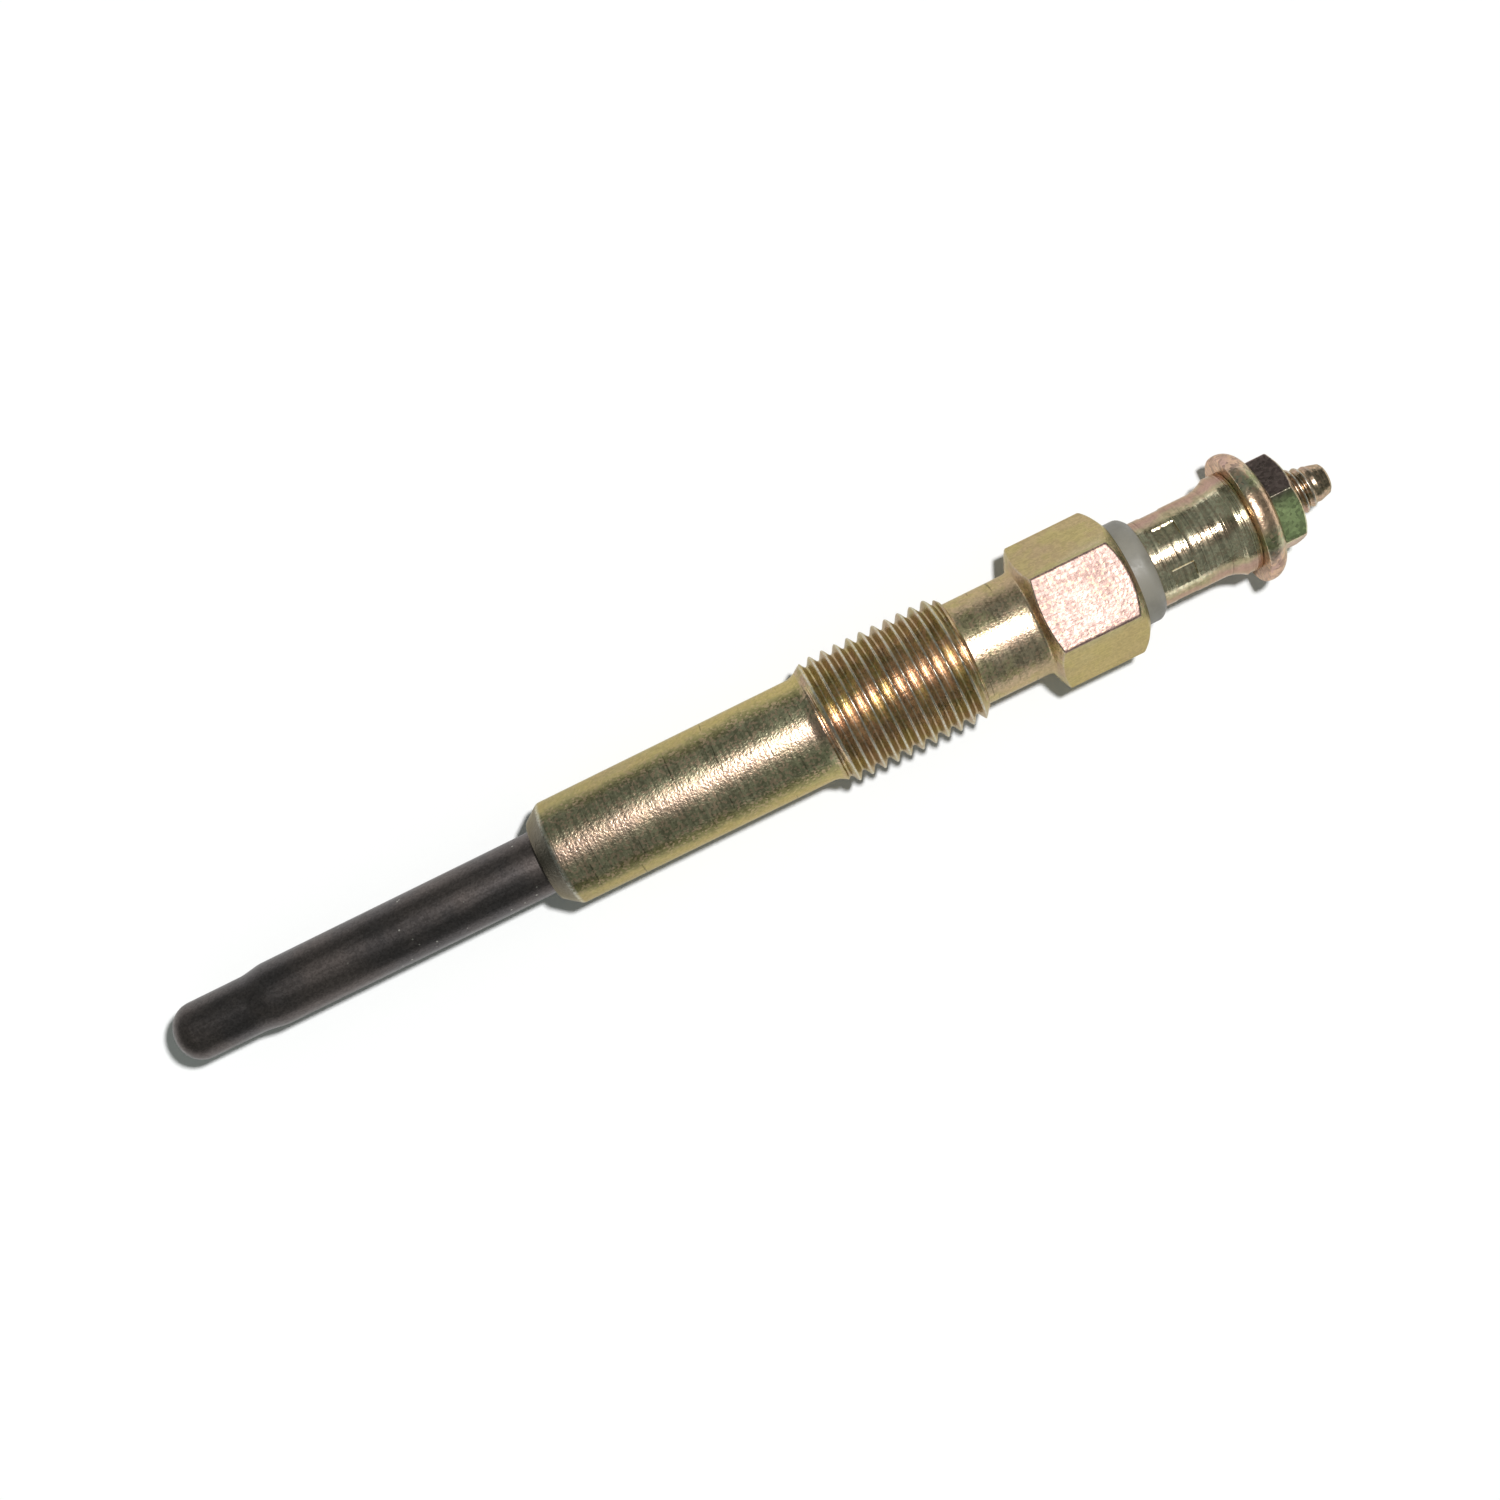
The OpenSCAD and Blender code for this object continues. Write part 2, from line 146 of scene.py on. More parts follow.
class PlugTerminalSizes(bpy.types.PropertyGroup):
    """Sizes of the collar, sleeve, nut and stud."""
    collar_chamfer: length("Collar chamfer", "Chamfer on the collar's outer edge", 0.6)
    collar_diameter: length("Collar diameter", "Outside diameter of the collar", 9.8)
    spigot_diameter: length("Spigot diameter", "Diameter of the spigot in the counterbore", 7.94)
    sleeve_diameter: length("Sleeve diameter", "Outside diameter of the sleeve", 8.1)
    flange_diameter: length("Sleeve flange", "Diameter of the sleeve's flange", 9.4)
    flange_width: length("Flange width", "Width of the flange's rim", 1.3)
    flange_cove: length("Flange cove", "Radius of the cove in front of the flange", 3.6)
    crimps: IntProperty(name="Crimps", description="Number of punched dents", default=6, min=3, max=12)
    crimp_width: length("Crimp width", "Width of a dent round the sleeve", 1.8)
    crimp_length: length("Crimp length", "Length of a dent along the sleeve", 2.0)
    crimp_depth: length("Crimp depth", "Depth of a dent at its middle", 0.155)
    crimp_lean: angle("Crimp lean", "Slant of a dent's flat towards its deeper edge", 5.0)
    crimp_offset: length("Crimp offset", "From the collar to the dents", 1.3)
    crimp_turn: angle("Crimp turn", "Turn of the first dent from +Y towards +Z", 61.0)
    nut_flats: length("Nut", "Width across flats of the nut", 8.0)
    nut_flange: length("Nut flange", "Diameter of the nut's flange", 12.2)
    nut_edge: length("Flange edge", "Height of the flange's widest place above its bearing face", 0.55)
    nut_edge_round: length("Flange edge round", "Rounding of the flange toward its bearing face", 0.15)
    nut_crown: length("Flange crown", "Rise of the flange's crown up to the hexagon", 1.75)
    nut_chamfer: angle("Nut chamfer", "Slope of the chamfer on the nut's end", 30.0)
    nut_turn: angle("Nut turn", "Turn of a nut corner from +Y towards +Z", 21.0)
    nut_round: length("Nut edge", "Radius of the nut's six long edges", 0.15)
    stud_diameter: length("Stud", "Nominal diameter of the stud", 5.0)
    stud_pitch: length("Stud pitch", "Pitch of the stud's thread", 0.8)
    stud_depth: length("Stud thread depth", "Depth of the stud's thread at the nut", 0.3)
    stud_point: angle("Stud point", "Half angle of the tapered point", 16.5)
    stud_smooth: length("Smooth end", "Length of the plain band at the point", 0.8)
    rod_diameter: length("Rod", "Diameter of the rod inside the sheath", 3.2)
    rod_nose: length("Rod nose", "Diameter of the nose inside the coil", 1.95)


class PlugColours(bpy.types.PropertyGroup):
    """Colours of the finishes."""
    blush: colour("Blush plate", "Plating that faces straight up or down", 0.53, 0.375, 0.285)
    # painted shade: a pink tint kept darker than the other plating, so that the upper flat's highlight is
    # toned down
    pearl_with_painted_shade: colour("Pearl plate", "Plating of the hexagon's upper flat", 0.395, 0.268, 0.236)
    olive: colour("Olive plate", "Plating on the slopes", 0.46, 0.44, 0.275)
    gold: colour("Gold plate", "Plating along the sides", 0.50, 0.405, 0.17)
    # painted shade: a dark band between the slopes and the sides, standing in for the dim reflection there
    shade_band: colour("Verge plate", "Dark band between the slopes and the sides", 0.22, 0.205, 0.085)
    rose: colour("Rose plate", "Pink patches of the plating", 0.49, 0.325, 0.275)
    leaf: colour("Leaf plate", "Green patches of the plating", 0.42, 0.44, 0.22)
    copper: colour("Copper plate", "Plating in the thread and on the hexagon's cone", 0.84, 0.60, 0.45)
    brass: colour("Brass plate", "Yellower patches between the thread's turns", 0.80, 0.66, 0.36)
    apricot: colour("Apricot grain", "Bright grains of the plating", 0.80, 0.55, 0.38)
    # used for the seat's heat stain, and as painted shade on the barrel's front and the dents' walls
    scorch_and_shade_tint: colour("Scorched plate", "Heat-stained plating of the seat", 0.145, 0.126, 0.100)
    edge: colour("Grazing tint", "Share of light kept where plating is seen edge-on", 0.80, 0.75, 0.62)
    silver: colour("Worn crest", "Bare metal on rubbed crests and edges", 0.62, 0.61, 0.54)
    sleeve: colour("Sleeve plate", "Pale plating of the terminal sleeve", 0.90, 0.82, 0.58)
    sleeve_side: colour("Sleeve side", "Pink plating on the sleeve's sides", 0.44, 0.285, 0.235)
    nut_green: colour("Nut green", "Green side of the nut", 0.63, 0.77, 0.38)
    nut_plum: colour("Nut plum", "Purple-brown side of the nut", 0.24, 0.18, 0.165)
    nut_ring: colour("Nut flange", "Grey-green plating of the nut's flange", 0.47, 0.45, 0.33)
    bronze: colour("Stud bronze", "Plating of the stud", 0.38, 0.295, 0.205)
    oxide: colour("Sheath oxide", "Dark oxide of the sheath", 0.092, 0.083, 0.083)
    umber: colour("Sheath umber", "Brown tint of the sheath", 0.128, 0.108, 0.101)
    collar: colour("Collar grey", "Moulded insulating collar", 0.25, 0.235, 0.20)
    wire: colour("Coil wire", "Bare resistance wire", 0.55, 0.54, 0.52)
    magnesia: colour("Magnesia", "Packed white powder", 0.80, 0.79, 0.75)
    rubber: colour("Rubber", "Seals inside the plug", 0.022, 0.022, 0.022)


class PlugStage(bpy.types.PropertyGroup):
    """Floor, light and camera."""
    floor_colour: colour("Floor", "Pale table top", 0.97, 0.97, 0.97)
    floor_size: length("Floor size", "Side of the floor", 40000.0)
    key_strength: share("Key strength", "Light that the lamp lays on the floor", 2.78, 10.0)
    key_place: spot("Key place", "Where the lamp hangs, beside the camera", 48.5, 22.3, 217.0)
    key_radius: length("Key radius", "Radius of the round lamp", 7.4)
    dome: colour("Dome", "Light of the dim studio dome", 0.165, 0.18, 0.168)
    horizon: colour("Horizon", "Light of the band at the horizon", 0.156, 0.170, 0.160)
    camera_place: spot("Camera place", "Where the camera stands", 4.73, 6.25, 181.0)
    camera_aim: spot("Camera aim", "Point that the camera looks at", 0.62, 0.80, 6.1)
    camera_turn: angle("Camera turn", "Slope of the plug's axis in the picture", 26.2)
    lens: share("Lens", "Focal length of the camera in millimetres", 47.04, 500.0)


class PlugSettings(bpy.types.PropertyGroup):
    """Everything that a user would change."""
    sheath: PointerProperty(type=PlugSheathSizes)
    body: PointerProperty(type=PlugBodySizes)
    terminal: PointerProperty(type=PlugTerminalSizes)
    colours: PointerProperty(type=PlugColours)
    stage: PointerProperty(type=PlugStage)


# Shapes

EDGE = 0.08 * MM          # bevel where two machined faces meet
THREAD_ROWS = 30          # rows of the grid for each pitch
THREAD_DEPTH = 0.6134     # depth of the body's thread, as a share of its pitch
CREST_END = 1 / 18        # half width of a thread's crest, as a share of the pitch
ROOT_START = 5 / 12       # distance from the crest to the root, as a share of the pitch
FLANK_EASE = 0.16         # rounding of a thread's crest and root, as a share of the flank
FIT = 0.01 * MM           # gap round the sheath in the body and round the stud in the nut
ROOM = 0.03 * MM          # gap round the stud in the collar and the sleeve
CORNER_STEPS = 4          # steps of the curve that rounds a corner of a profile
GUARD = 0.06 * MM         # distance from a rounded corner to the row that keeps its side flat
CUT_LIMIT = 0.46          # largest share of a side that a rounded corner takes
GUARD_LIMIT = 0.49        # the same with its guard row
CRIMP_WALL = math.radians(3.0)  # angle round the sleeve that a dent's wall takes
SHARP = math.radians(33.0)      # faces that meet more steeply than this keep a crisp edge


def even_angles(count):
    """Ring of evenly spaced angles round the axis, from +Y towards +Z."""
    return np.arange(count) * (2 * math.pi / count)


def corner_angles(steps, turn):
    """Ring of angles that crowd towards a hexagon's corners.

    In each sixth, the angle from the nearest corner is 30 degrees times (step / steps) squared.
    """
    rise = (np.arange(steps) / steps) ** 2 * (math.pi / 6)
    fall = math.pi / 3 - (np.arange(steps, 0, -1) / steps) ** 2 * (math.pi / 6)
    sixth = np.concatenate([rise, fall])
    return (np.arange(6)[:, None] * (math.pi / 3) + sixth).ravel() + turn


def soften(points, cut):
    """Profile whose inner corners are rounded.

    Corner P becomes the parabola (1-t)^2 A + 2t(1-t) P + t^2 B, with A and B the distance cut, in
    millimetres, before and after it, though never past the middle of a side. One more point on each side
    keeps the sides flat.
    """
    points = np.asarray(points, float)
    corner = points[1:-1]
    before, after = points[:-2] - corner, points[2:] - corner
    cut = np.broadcast_to(cut, len(corner))[:, None] * MM
    before_length = np.linalg.norm(before, axis=1, keepdims=True)
    after_length = np.linalg.norm(after, axis=1, keepdims=True)
    first = corner + before * np.minimum(cut / before_length, CUT_LIMIT)
    last = corner + after * np.minimum(cut / after_length, CUT_LIMIT)
    ahead = corner + before * np.minimum((cut + GUARD) / before_length, GUARD_LIMIT)
    behind = corner + after * np.minimum((cut + GUARD) / after_length, GUARD_LIMIT)
    t = np.linspace(0, 1, CORNER_STEPS + 1)[None, :, None]
    curve = (1 - t) ** 2 * first[:, None] + 2 * t * (1 - t) * corner[:, None] + t ** 2 * last[:, None]
    whole = np.concatenate([ahead[:, None], curve, behind[:, None]], axis=1)
    return np.concatenate([points[:1], whole.reshape(-1, 2), points[-1:]])


def cove(end_x, low_r, high_r, radius):
    """Hollow arc from one radius up to a larger one: low_r + R - sqrt(R^2 - x^2).

    It leaves the lower radius smoothly, and x runs up to sqrt(2 R rise - rise^2).
    """
    rise = high_r - low_r
    length = math.sqrt(2 * radius * rise - rise ** 2)
    x = np.linspace(0, length, 12)
    return np.stack([end_x - length + x, low_r + radius - np.sqrt(radius ** 2 - x ** 2)], axis=-1)


MARKS = {"worn": 0.0, "turned": 1.0, "warm": 0.0, "blush": 0.0, "dim": 0.0}


def run(x, r, **marks):
    """Rows: stations, radii, and each point's wear, turning, copper, pink, scorch and painted shade."""
    values = [x, r, *{**MARKS, **marks}.values()]
    return [np.atleast_2d(np.asarray(v, float)) for v in values]


def profile_run(points, **marks):
    """A run of rows from a list of (station, radius) points."""
    points = np.asarray(points, float)
    return run(points[:, :1], points[:, 1:], **marks)


def end_rows(count):
    """Shares from 0 to 1 with one extra row close to each end."""
    return column(np.concatenate([[0], np.linspace(0.015, 0.985, count), [1]]))


def column(values):
    """Values down the rows of a run."""
    return np.asarray(values, float)[:, None]


def soft_abs(value, ease):
    """Size of a value with its corner at zero rounded: sqrt(value^2 + ease^2)."""
    return np.sqrt(value ** 2 + ease ** 2)


def turn_number(x, angles, crest_x, pitch):
    """Turns of a right-handed thread from the crest at crest_x: (x - crest_x) / pitch - angle / 360."""
    return (x - crest_x) / pitch - angles / (2 * math.pi)


def flank_share(turn):
    """How far a thread's surface has dropped, from 0 on the crest to 1 in the root.

    Between the crest's half width and the root's start the drop is straight, and both ends are rounded.
    """
    away = np.abs(turn - np.round(turn))
    flank = (away - CREST_END) / (ROOT_START - CREST_END)
    drop = 0.5 * (soft_abs(flank, FLANK_EASE) - soft_abs(flank - 1, FLANK_EASE) + 1)
    return np.clip(drop, 0, 1)


def hexagon_radius(angles, flats, edge, turn):
    """Radius of a hexagon with rounded corners.

    On a flat it is half the width over cos(angle from the flat's middle); at a corner it is an arc of radius
    edge, whose centre lies on the corner's line.
    """
    half = flats / 2
    from_corner = np.abs((angles - turn + math.pi / 6) % (math.pi / 3) - math.pi / 6)
    flat = half / np.cos(math.pi / 6 - from_corner)
    centre = (half - edge) / math.cos(math.pi / 6)
    reach = np.maximum(edge ** 2 - (centre * np.sin(from_corner)) ** 2, 0)
    arc = centre * np.cos(from_corner) + np.sqrt(reach)
    tangent = math.pi / 6 - math.atan((half - edge) * math.tan(math.pi / 6) / half)
    return np.where(from_corner < tangent, arc, flat)


def linked(name, data):
    """A new object of the scene that shows this data."""
    made = bpy.data.objects.new(name, data)
    bpy.context.scene.collection.objects.link(made)
    return made


def turned_piece(name, runs, angles, loop):
    """Closed skin from runs of rows carried round a ring of angles.

    Point (row, angle) is (station, radius cos(angle), axis height + radius sin(angle)). A loop joins its last
    row to its first; otherwise both end rows close on a point on the axis.
    """
    whole = [np.broadcast_arrays(*parts, angles[None, :])[:-1] for parts in runs]
    x, r, *marks = (np.concatenate(parts) for parts in zip(*whole))
    rows, columns = x.shape
    points = np.stack([x, r * np.cos(angles), AXIS_Z + r * np.sin(angles)], axis=-1).reshape(-1, 3)
    place = np.arange(rows * columns).reshape(rows, columns)
    beside = np.roll(place, -1, axis=1)
    if loop:
        ahead, across = np.roll(place, -1, axis=0), np.roll(beside, -1, axis=0)
        quads = np.stack([place, beside, across, ahead], axis=-1).reshape(-1, 4)
        fans = np.zeros((0, 3), int)
    else:
        quads = np.stack([place[:-1], beside[:-1], beside[1:], place[1:]], axis=-1).reshape(-1, 4)
        first, last = rows * columns, rows * columns + 1
        points = np.concatenate([points, [[x[0, 0], 0, AXIS_Z], [x[-1, 0], 0, AXIS_Z]]])
        fans = np.concatenate([
            np.stack([np.full(columns, first), beside[0], place[0]], axis=-1),
            np.stack([np.full(columns, last), place[-1], beside[-1]], axis=-1),
        ])
    mesh = bpy.data.meshes.new(name)
    mesh.from_pydata(points, [], quads.tolist() + fans.tolist(), shade_flat=False)
    for label, values in zip(MARKS, marks):
        layer = mesh.attributes.new(label, "FLOAT", "POINT")
        filled = np.zeros(len(points), np.float32)
        filled[:rows * columns] = values.ravel()
        layer.data.foreach_set("value", filled)
    if mesh.validate():
        raise RuntimeError(f"{name}: the mesh had faults")
    mesh.set_sharp_from_angle(angle=SHARP)
    return linked(name, mesh)


def settle(piece, node, material):
    """Puts a finished piece in a node's place."""
    piece.data.materials.append(material)
    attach(piece, "root")
    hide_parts(node)


def sheath_runs(s):
    """Rows of the heater tube: round end, narrow tip, S-shaped swell, plain tube, then its inside.

    The swell follows 3t^2 - 2t^3 between the two radii.
    """
    tip_r, outer_r = s.tip_diameter / 2, s.diameter / 2
    bend = np.linspace(0, math.pi / 2, 14)
    round_end = np.stack([SHEATH_LOW.x + s.tip_round * (1 - np.cos(bend)),
                          tip_r - s.tip_round * (1 - np.sin(bend))], axis=-1)
    t = np.linspace(0, 1, 20)
    swell = np.stack([SHEATH_LOW.x + s.taper_start + s.taper_length * t,
                      tip_r + (outer_r - tip_r) * (3 * t ** 2 - 2 * t ** 3)], axis=-1)
    inner = np.stack([SHEATH_LOW.x + s.wall + (s.tip_round - s.wall) * (1 - np.cos(bend[::-1])),
                      tip_r - s.wall - (s.tip_round - s.wall) * (1 - np.sin(bend[::-1]))], axis=-1)
    rear = [(SHEATH_HIGH.x, outer_r), (SHEATH_HIGH.x, outer_r - s.wall),
            (SHEATH_LOW.x + s.taper_start + s.taper_length, outer_r - s.wall),
            (SHEATH_LOW.x + s.taper_start, tip_r - s.wall)]
    return [profile_run(part) for part in (round_end, swell, rear, inner)]


def body_runs(s, sheath, angles):
    """Rows of the body: seat cone, barrel, cove, thread, neck, hexagon, rear face and bores.

    The thread's radius is the outside radius less the flank's drop, held under a cone at each end. The front
    chamfer of the hexagon is a cone and the rear one a ball; both run out on the hexagon's own radius.
    """
    front = BODY_LOW.x
    hole_r = sheath.diameter / 2 + FIT
    barrel_r, neck_r, thread_r = s.barrel_diameter / 2, s.neck_diameter / 2, s.thread_diameter / 2
    depth = THREAD_DEPTH * s.thread_pitch
    root_r = thread_r - depth
    thread_x = front + s.barrel_length
    neck_x = thread_x + s.thread_length
    hex_x = neck_x + s.neck_length

    lip = 0.22 * MM
    seat_end = front + s.seat_length
    rise = cove(thread_x, barrel_r, root_r, s.cove_radius)
    nose = soften([(front + lip, hole_r), (front, hole_r + lip), (front, s.seat_diameter / 2),
                   (seat_end, barrel_r), rise[0]], cut=[0.04, 0.12, 0.25])
    x = nose[:, :1]
    # the seat is heat-stained; behind it the barrel gets painted shade, darkest at its front and fading out
    # at the thread
    seat_stain_and_front_shade = np.where(x < seat_end - 0.05 * MM, 1, 0.24 * (thread_x - x) / s.barrel_length)
    corner_worn = 0.8 * np.clip(1 - np.abs(x - seat_end) / (0.3 * MM), 0, 1)

    rows = round(THREAD_ROWS * s.thread_length / s.thread_pitch)
    x = column(np.linspace(thread_x, neck_x, rows + 1)[1:])
    lead = np.minimum((x - thread_x) / s.front_lead, (neck_x - x) / s.rear_lead)
    cone_r = root_r + depth * np.clip(lead, 0, 1)
    turn = turn_number(x, angles, front + s.thread_crest, s.thread_pitch)
    drop = flank_share(turn)
    crest_worn = np.clip(1.2 - drop / 0.12, 0, 1) * np.clip(3 * lead - 1, 0, 1)
    flank_warm = 0.6 - 0.35 * np.sin(2 * math.pi * turn)
    thread = run(x, np.minimum(thread_r - depth * drop, cone_r), worn=crest_worn, turned=0.5, warm=flank_warm)

    start_r, rear_r = s.hex_front_diameter / 2, s.hex_rear_diameter / 2
    corner = 0.35 * s.neck_cove
    neck = soften([(neck_x, root_r), (neck_x + 0.12 * MM, neck_r), (hex_x - 1.6 * s.neck_cove, neck_r),
                   (hex_x - corner, neck_r + corner), (hex_x, start_r)], cut=[0.1, 0.3, 0.2])

    hexagon = hexagon_radius(angles, s.hex_flats, s.hex_round, 0.0)[None, :]
    slope = math.tan(s.hex_front_angle)
    t = column(np.linspace(0, 1, 7)[1:])
    cone_rows_r = start_r + (hexagon - EDGE - start_r) * t
    cone = run(hex_x + (cone_rows_r - start_r) * slope, cone_rows_r, worn=0.25 * (t > 0.99), warm=0.7)
    crown_x = BODY_HIGH.x - math.sqrt(s.hex_crown ** 2 - rear_r ** 2)
    flat_start = hex_x + (hexagon - start_r) * slope + EDGE
    flat_end = crown_x + np.sqrt(s.hex_crown ** 2 - hexagon ** 2) - EDGE
    across, upward = np.cos(angles), np.sin(angles)
    flats = run(flat_start + (flat_end - flat_start) * end_rows(9), hexagon, turned=0.0,
                warm=0.3 * (across > 0.55) + 0.12 * (across < -0.55), blush=upward > 0.85)
    crown_rows_r = hexagon - EDGE + (rear_r - hexagon + EDGE) * column(np.linspace(0, 1, 8))
    crown = run(crown_x + np.sqrt(s.hex_crown ** 2 - crown_rows_r ** 2), crown_rows_r, turned=0.8)

    deep = BODY_HIGH.x - s.counterbore_depth
    inside = [(BODY_HIGH.x, s.counterbore_diameter / 2), (deep, s.counterbore_diameter / 2),
              (deep, s.bore_diameter / 2), (SHEATH_HIGH.x, s.bore_diameter / 2), (SHEATH_HIGH.x, hole_r)]
    return [profile_run(nose, worn=corner_worn, dim=seat_stain_and_front_shade), profile_run(rise[1:]), thread,
            profile_run(neck, warm=0.4), cone, flats, crown, profile_run(inside)]


def collar_runs(s):
    """Rows of the insulating collar and the spigot in front of it."""
    hole_r = s.stud_diameter / 2 + ROOM
    step = BODY_HIGH.x
    outer_r = s.collar_diameter / 2
    points = soften([(BUSH_LOW.x, hole_r), (BUSH_LOW.x, s.spigot_diameter / 2), (step, s.spigot_diameter / 2),
                     (step, outer_r), (BUSH_HIGH.x - s.collar_chamfer, outer_r),
                     (BUSH_HIGH.x, outer_r - s.collar_chamfer), (BUSH_HIGH.x, hole_r)],
                    cut=[0.1, 0.02, 0.12, 0.35, 0.2])
    return [profile_run(points)]


def crimp_spread(s):
    """Half of the angle that a dent takes, and half of the angle from one dent to the next."""
    return math.asin(s.crimp_width / s.sleeve_diameter), math.pi / s.crimps


def crimp_angles(s):
    """Ring of angles with columns on both sides of each dent's walls."""
    half, sector = crimp_spread(s)
    foot = half - CRIMP_WALL
    one = np.concatenate([np.linspace(-sector, -half, 7), np.linspace(-foot, foot, 10),
                          np.linspace(half, sector, 7)[:-1]])
    return (np.arange(s.crimps)[:, None] * 2 * sector + one).ravel() + s.crimp_turn


def sleeve_runs(s, angles):
    """Rows of the crimped sleeve: plain tube with punched dents, a ring mark, cove, flange rim and bore.

    A dent is the flat (radius - depth) cos(lean) / cos(angle from its middle + lean) inside its own width and
    length, so one of its edges is deeper than the other; painted shade darkens the wall there.
    """
    hole_r = s.stud_diameter / 2 + ROOM
    tube_r, rim_r = s.sleeve_diameter / 2, s.flange_diameter / 2
    low, high = SLEEVE_LOW.x, SLEEVE_HIGH.x
    dent, step = low + s.crimp_offset, 0.07 * MM
    dent_end = dent + s.crimp_length
    front = soften([(low, hole_r), (low, tube_r), (dent - 0.3 * MM, tube_r)], cut=0.12)

    x = column(np.concatenate([[dent - step], np.linspace(dent, dent_end, 12), [dent_end + step]]))
    half, sector = crimp_spread(s)
    around = (angles - s.crimp_turn + sector) % (2 * sector) - sector
    within = (x > dent - step / 2) & (x < dent_end + step / 2)
    inside = (np.abs(around) < half - CRIMP_WALL / 2) & within
    lean = np.clip(around, -half, half) + s.crimp_lean
    flat_r = np.minimum((tube_r - s.crimp_depth) * math.cos(s.crimp_lean) / np.cos(lean), tube_r)
    # painted shade along the wall at each dent's deeper edge
    from_wall = np.abs(around + half - CRIMP_WALL / 2) / (0.5 * CRIMP_WALL)
    shaded = 0.65 * np.clip(1.4 - from_wall, 0, 0.9) * within
    dents = run(x, np.where(inside, flat_r, tube_r), turned=np.where(inside, 0.25, 1.0), warm=0.2 * inside,
                dim=shaded)

    mark, groove = dent_end + 0.16 * MM, 0.05 * MM
    ring = [(mark - groove, tube_r), (mark, tube_r - 0.03 * MM), (mark + groove, tube_r)]
    rise = cove(high - s.flange_width, tube_r, rim_r, s.flange_cove)
    rim = soften([rise[-1], (rise[-1, 0] + 0.1 * MM, rim_r), (high, rim_r), (high, hole_r)],
                 cut=[0.05, 0.16])[1:]
    return [profile_run(front), dents, profile_run(ring), profile_run(rise), profile_run(rim)]


def nut_runs(s, angles):
    """Rows of the flange nut: bearing face, rounded edge, crown, flats, chamfer, end face and bore.

    Edge and crown are quarters of two ellipses that meet at the flange's widest place; the crown is
    (foot + height sin b, foot + width cos b) and stops where it meets the hexagon.
    """
    low, high = NUT_LOW.x, NUT_HIGH.x
    hole_r, lead = s.stud_diameter / 2 + FIT, 0.3 * MM
    rim_r = s.nut_flange / 2
    face = [(low, hole_r + lead), (low, rim_r - s.nut_edge_round - GUARD)]
    bend = column(np.linspace(-math.pi / 2, 0, 9))
    edge = run(low + s.nut_edge * (1 + np.sin(bend)), rim_r - s.nut_edge_round * (1 - np.cos(bend)))

    hexagon = hexagon_radius(angles, s.nut_flats, s.nut_round, s.nut_turn)[None, :]
    foot_x, foot_r = low + s.nut_edge, 0.98 * s.nut_flats / 2
    width = rim_r - foot_r
    last = np.arccos(np.clip((hexagon + 0.03 * MM - foot_r) / width, 0, 1))
    bend = last * column(np.linspace(0, 1, 20)[1:])
    over = run(foot_x + s.nut_crown * np.sin(bend), foot_r + width * np.cos(bend))

    end_r, fall = 0.95 * s.nut_flats / 2, math.tan(s.nut_chamfer)
    flat_start = foot_x + s.nut_crown * np.sin(last) + 0.05 * MM
    flat_end = high - (hexagon - end_r) * fall - EDGE
    flats = run(flat_start + (flat_end - flat_start) * end_rows(7), hexagon, turned=0.0)
    t = column(np.linspace(0, 1, 6))
    fall_r = hexagon - EDGE + (end_r - hexagon + EDGE) * t
    chamfer = run(high - (fall_r - end_r) * fall, fall_r, worn=0.3 * (t < 0.01), turned=0.6)
    inside = soften([(high, end_r - 0.15 * MM), (high, hole_r + lead), (high - lead, hole_r),
                     (low + lead, hole_r)], cut=0.05)
    return [profile_run(face), edge, over, flats, chamfer, profile_run(inside)]


def rod_runs(s, angles):
    """Rows of the rod: nose, front part, full part, then the threaded point.

    The point's radius is a cone less the thread's drop, which fades to nothing at the plain end band.
    """
    stud_r, front_r, nose_r = s.stud_diameter / 2, s.rod_diameter / 2, s.rod_nose / 2
    shoulder = ROD_LOW.x + 2.43 * MM
    step = SHEATH_HIGH.x + 1 * MM
    thread_x = NUT_LOW.x + 0.6 * MM
    hidden = [(ROD_LOW.x, 0.6 * nose_r), (ROD_LOW.x, nose_r), (shoulder, nose_r), (shoulder, front_r),
              (step, front_r), (step + stud_r - front_r, stud_r), (thread_x - 0.1 * MM, stud_r)]
    end = ROD_HIGH.x - 0.25 * MM
    rows = round(THREAD_ROWS * (end - thread_x) / s.stud_pitch)
    x = column(np.linspace(thread_x, end, rows))
    slope = math.tan(s.stud_point)
    cone_r = stud_r - np.maximum(x - NUT_HIGH.x, 0) * slope
    fade = np.clip((end - s.stud_smooth - x) / (1.6 * s.stud_smooth), 0, 1)
    drop = flank_share(turn_number(x, angles, NUT_HIGH.x, s.stud_pitch))
    crest_worn = np.clip(1 - drop / 0.3, 0, 1) * fade
    thread = run(x, cone_r - s.stud_depth * fade * drop, worn=crest_worn, turned=0.5)
    end_r = stud_r - (end - NUT_HIGH.x) * slope
    point = soften([(end, end_r), (end + 0.02 * MM, end_r - 0.01 * MM), (ROD_HIGH.x, end_r - 0.3 * MM),
                    (ROD_HIGH.x, 0.3 * MM)], cut=0.15)[1:]
    return [profile_run(hidden), thread, profile_run(point)]


# Finishes

